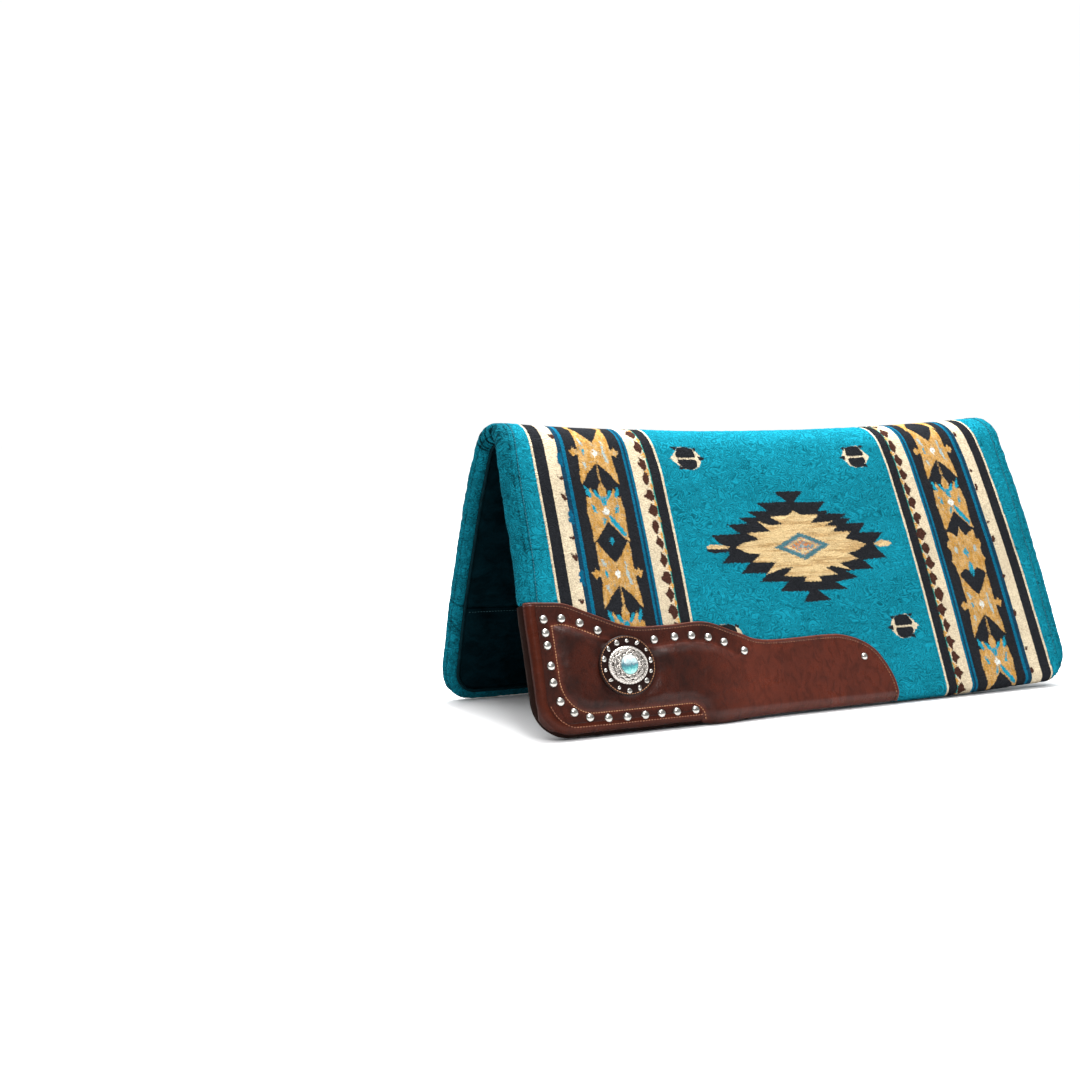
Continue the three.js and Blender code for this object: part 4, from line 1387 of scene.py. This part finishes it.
def roundel(side, hide):
    def hide_relief(r, turn, z):
        z = z + 0.1 * np.cos(3 * turn) - 0.45 * bell(r - 37.2, 0.9)
        return z, 1.3 + 0 * (r + turn)

    profile = [(0, 2.0), (38, 2.0), (40, 1.7), (ROUNDEL_RADIUS, 0.6)]
    points, faces, tone = disc(profile, 34, 96, hide_relief, -1.4)
    piece = toned(side + "_concho_backing", points * (1, 0.95, 1), faces, tone, over_roundel(side, 0), hide)
    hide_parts(side + "_roundel")
    return piece


def filigree(side, metal):
    """The silver: a rope edge, two rings of pierced scrolls and a collar round the stone."""
    def scrolls(r, turn, z):
        rope = bell(r - 26.8, 1.9) * (1.25 + 0.45 * np.sin(40 * turn + 2.2 * (r - 27)))
        leaf = np.sin(6 * turn + 0.42 * (r - 15) + 0.9 * np.sin(5 * turn))
        curls = np.abs(leaf * np.cos(5 * turn - 0.5 * (r - 15)))
        lace = smooth(r, 14.5, 15.5) * (1 - smooth(r, 24.4, 25.2)) * smooth(curls, 0.10, 0.30)
        lace = np.maximum(lace, bell(r - 20.6, 0.8) * 0.9)
        collar = bell(r - 14.4, 1.1) * (0.9 + 0.35 * np.cos(36 * turn))
        raised = 1.3 * rope + 1.2 * lace + 1.1 * collar
        hollow = 1 - smooth(rope + 1.2 * lace + collar + (r < 13.5), 0.12, 0.65)
        return z + raised, 0.12 + 0.85 * hollow

    profile = [(0, 3.2), (14, 3.2), (20, 2.6), (26, 1.2), (CONCHO_RADIUS, 0.2)]
    points, faces, tone = disc(profile, 64, 264, scrolls, -0.4)
    points = points * np.array([1.0, 0.86, 1.0])
    piece = toned(side + "_filigree_concho", points, faces, tone, over_roundel(side, 2.5), metal)
    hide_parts(side + "_concho", side + "_concho_screw")
    return piece


def bezel(side, metal):
    beads = []
    for t in np.linspace(0, 2 * math.pi, 33)[:-1]:
        centre, axes = over_roundel(side, 6.1)
        beads.append((centre + (np.array([13.2 * math.cos(t), 13.4 * math.sin(t), 0]) * MM) @ axes, axes))
    piece = stamp(side + "_bezel_beads", BEAD, beads, metal)
    return piece


def stone(side, material):
    radius, height = STONE_SIZE
    dome = [(radius * math.cos(t), height * math.sin(t)) for t in np.linspace(0, math.pi / 2, 12)[:-1]]
    points, faces = lathe([(0, 0), *dome, (0, height)], 48)
    up = 1 if side == "near" else -1
    piece = toned(side + "_turquoise_stone", points * (1, up, 1), faces, np.zeros(len(points)),
                  over_roundel(side, 5.8), material, (1.04, 1.05, 1))
    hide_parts(side + "_stone")
    return piece


def spots(side, metal, count=14):
    """The ring of small silver spots, each of its own size and turned its own way."""
    frames = []
    for k in range(count):
        t = 2 * math.pi * (k + 0.3) / count
        centre, axes = over_roundel(side, 1.9)
        size = 1 + 0.28 * math.sin(5.3 * k)
        uneven = np.diag([size, 1 + 0.22 * math.cos(3.1 * k), 1.0])
        turned = np.array([[math.cos(k), math.sin(k), 0], [-math.sin(k), math.cos(k), 0], [0, 0, 1]])
        reach = 34.0 + 0.8 * math.sin(7.7 * k)
        away = np.array([reach * math.cos(t), 0.94 * reach * math.sin(t), 0])
        frames.append((centre + (away * MM) @ axes, uneven @ turned @ axes))
    piece = stamp(side + "_concho_spots", SPOT, frames, metal)
    return piece


def sewn_ring(side, thread_look):
    """The stitches that hold the round of leather."""
    frames = []
    for t in np.linspace(0, 2 * math.pi, 66)[:-1]:
        centre, axes = over_roundel(side, 2.0)
        turned = np.array([-math.sin(t) * axes[0] + math.cos(t) * axes[1],
                           -math.cos(t) * axes[0] - math.sin(t) * axes[1], axes[2]])
        away = np.array([38.6 * math.cos(t), 36.7 * math.sin(t), 0])
        frames.append((centre + (away * MM) @ axes, turned))
    piece = stamp(side + "_backing_stitching", capsule(2.7, 0.9, 0.8), frames, thread_look)
    return piece


def concho(side, silver, metal, stone_look, hide, tan):
    pieces = (roundel(side, hide), filigree(side, silver), bezel(side, metal), stone(side, stone_look),
              spots(side, metal), sewn_ring(side, tan))
    for piece in pieces:
        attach(piece, side + "_flank")


# ---------------------------------------------------------------- the studio

# How the room's brightness grows along each axis of the sky: from, to, darkest, brightest.
GLOW = (("Z", 0.58, 0.94, 0.0, 2.3), ("Y", -0.3, 0.4, 0.56, 1.02), ("X", -1.0, 0.15, -0.16, 0.0))

# Each lamp's place and disc size in metres, and its power in watts.
LAMPS = (("key", (-1.0, -2.3, 2.2), 0.8, 40), ("top", (0.1, 0.4, 2.3), 1.4, 150))


def studio():
    """A plain pale floor, a white room that is brighter overhead and before the pad, and two soft lamps."""
    look = Look("pale_floor", Roughness=0.9, Specular_IOR_Level=0.0)
    coord = look.add("TexCoord").outputs["Object"]
    cloud = look.noise(coord, 1.2, 2.0)
    look.done(look.ramp(cloud, [(0.3, (0.80, 0.80, 0.805)), (0.7, (0.82, 0.82, 0.825))]))
    bpy.ops.mesh.primitive_plane_add(size=60, location=(0, 0, 0))
    floor = bpy.context.object
    floor.name = "floor"
    floor.data.materials.append(look.material)
    world = bpy.data.worlds.new("studio")
    world.use_nodes = True
    tree = world.node_tree
    background = tree.nodes["Background"]
    coordinates = tree.nodes.new("ShaderNodeTexCoord")
    axes = tree.nodes.new("ShaderNodeSeparateXYZ")
    tree.links.new(coordinates.outputs["Generated"], axes.inputs["Vector"])
    glow = []
    for axis, low, high, dark, bright in GLOW:
        part = tree.nodes.new("ShaderNodeMapRange")
        part.interpolation_type = "SMOOTHSTEP"
        for key, value in (("From Min", low), ("From Max", high), ("To Min", dark), ("To Max", bright)):
            part.inputs[key].default_value = value
        tree.links.new(axes.outputs[axis], part.inputs["Value"])
        glow.append(part.outputs["Result"])
    total = glow[0]
    for part in glow[1:]:
        both = tree.nodes.new("ShaderNodeMath")
        tree.links.new(total, both.inputs[0])
        tree.links.new(part, both.inputs[1])
        total = both.outputs[0]
    tree.links.new(total, background.inputs["Strength"])
    background.inputs["Color"].default_value = (1.0, 1.0, 1.0, 1)
    bpy.context.scene.world = world
    bpy.context.scene.view_settings.view_transform = "Standard"
    for name, place_at, size, power in LAMPS:
        lamp(name, place_at, size, power)


def lamp(name, place_at, size, power):
    data = bpy.data.lights.new(name, "AREA")
    data.shape = "DISK"
    data.size = size
    data.energy = power
    made = bpy.data.objects.new(name, data)
    bpy.context.scene.collection.objects.link(made)
    made.location = place_at
    aim = Vector((0, 0, 0.2)) - Vector(place_at)
    made.rotation_euler = aim.to_track_quat("-Z", "Y").to_euler()


def main():
    camera()
    weave, dark_cloth, felt, cord = woven_top(), lining_cloth(), felt_cloth(), cord_cloth()
    hide = leather("wear_hide", (0.080, 0.0168, 0.0092), (0.0095, 0.0028, 0.0019), 0.23, 0.11)
    strip_hide = leather("strip_hide", (0.034, 0.0062, 0.0027), (0.0065, 0.0016, 0.0011), 0.22, 0.07,
                         (0.062, 0.0125, 0.0056))
    edge_hide = leather("edge_hide", (0.007, 0.0028, 0.0021), (0.0025, 0.0012, 0.001), 0.6, 0.022,
                        (0.022, 0.009, 0.006))
    tan = thread("tan_thread", (0.42, 0.21, 0.10), (0.17, 0.07, 0.033))
    dim = thread("dim_thread", (0.25, 0.10, 0.05), (0.10, 0.033, 0.017))
    russet = thread("russet_thread", (0.20, 0.075, 0.035), (0.06, 0.02, 0.012))
    deep_teal = thread("teal_thread", (0.004, 0.11, 0.15), (0.002, 0.05, 0.075))
    dull = thread("dark_thread", (0.02, 0.06, 0.07), (0.008, 0.03, 0.035))
    metal, silver, stone_look, sponge = nickel(), old_silver(), turquoise(), foam_sponge()
    for side in SIDES:
        top_blanket(side, weave)
        felt_core(side, felt)
        edge_binding(side, weave)
        seam_stitching(side, deep_teal)
        lining(side, dark_cloth, dull)
        piping(side, cord)
        wear_leather(side, hide)
        foam_filler(side, sponge)
        front_roll(side, strip_hide)
        leather_stitching(side, tan, russet, dim)
        studs(side, metal)
        concho(side, silver, metal, stone_look, hide, tan)
    edge_backing(edge_hide)
    studio()


main()
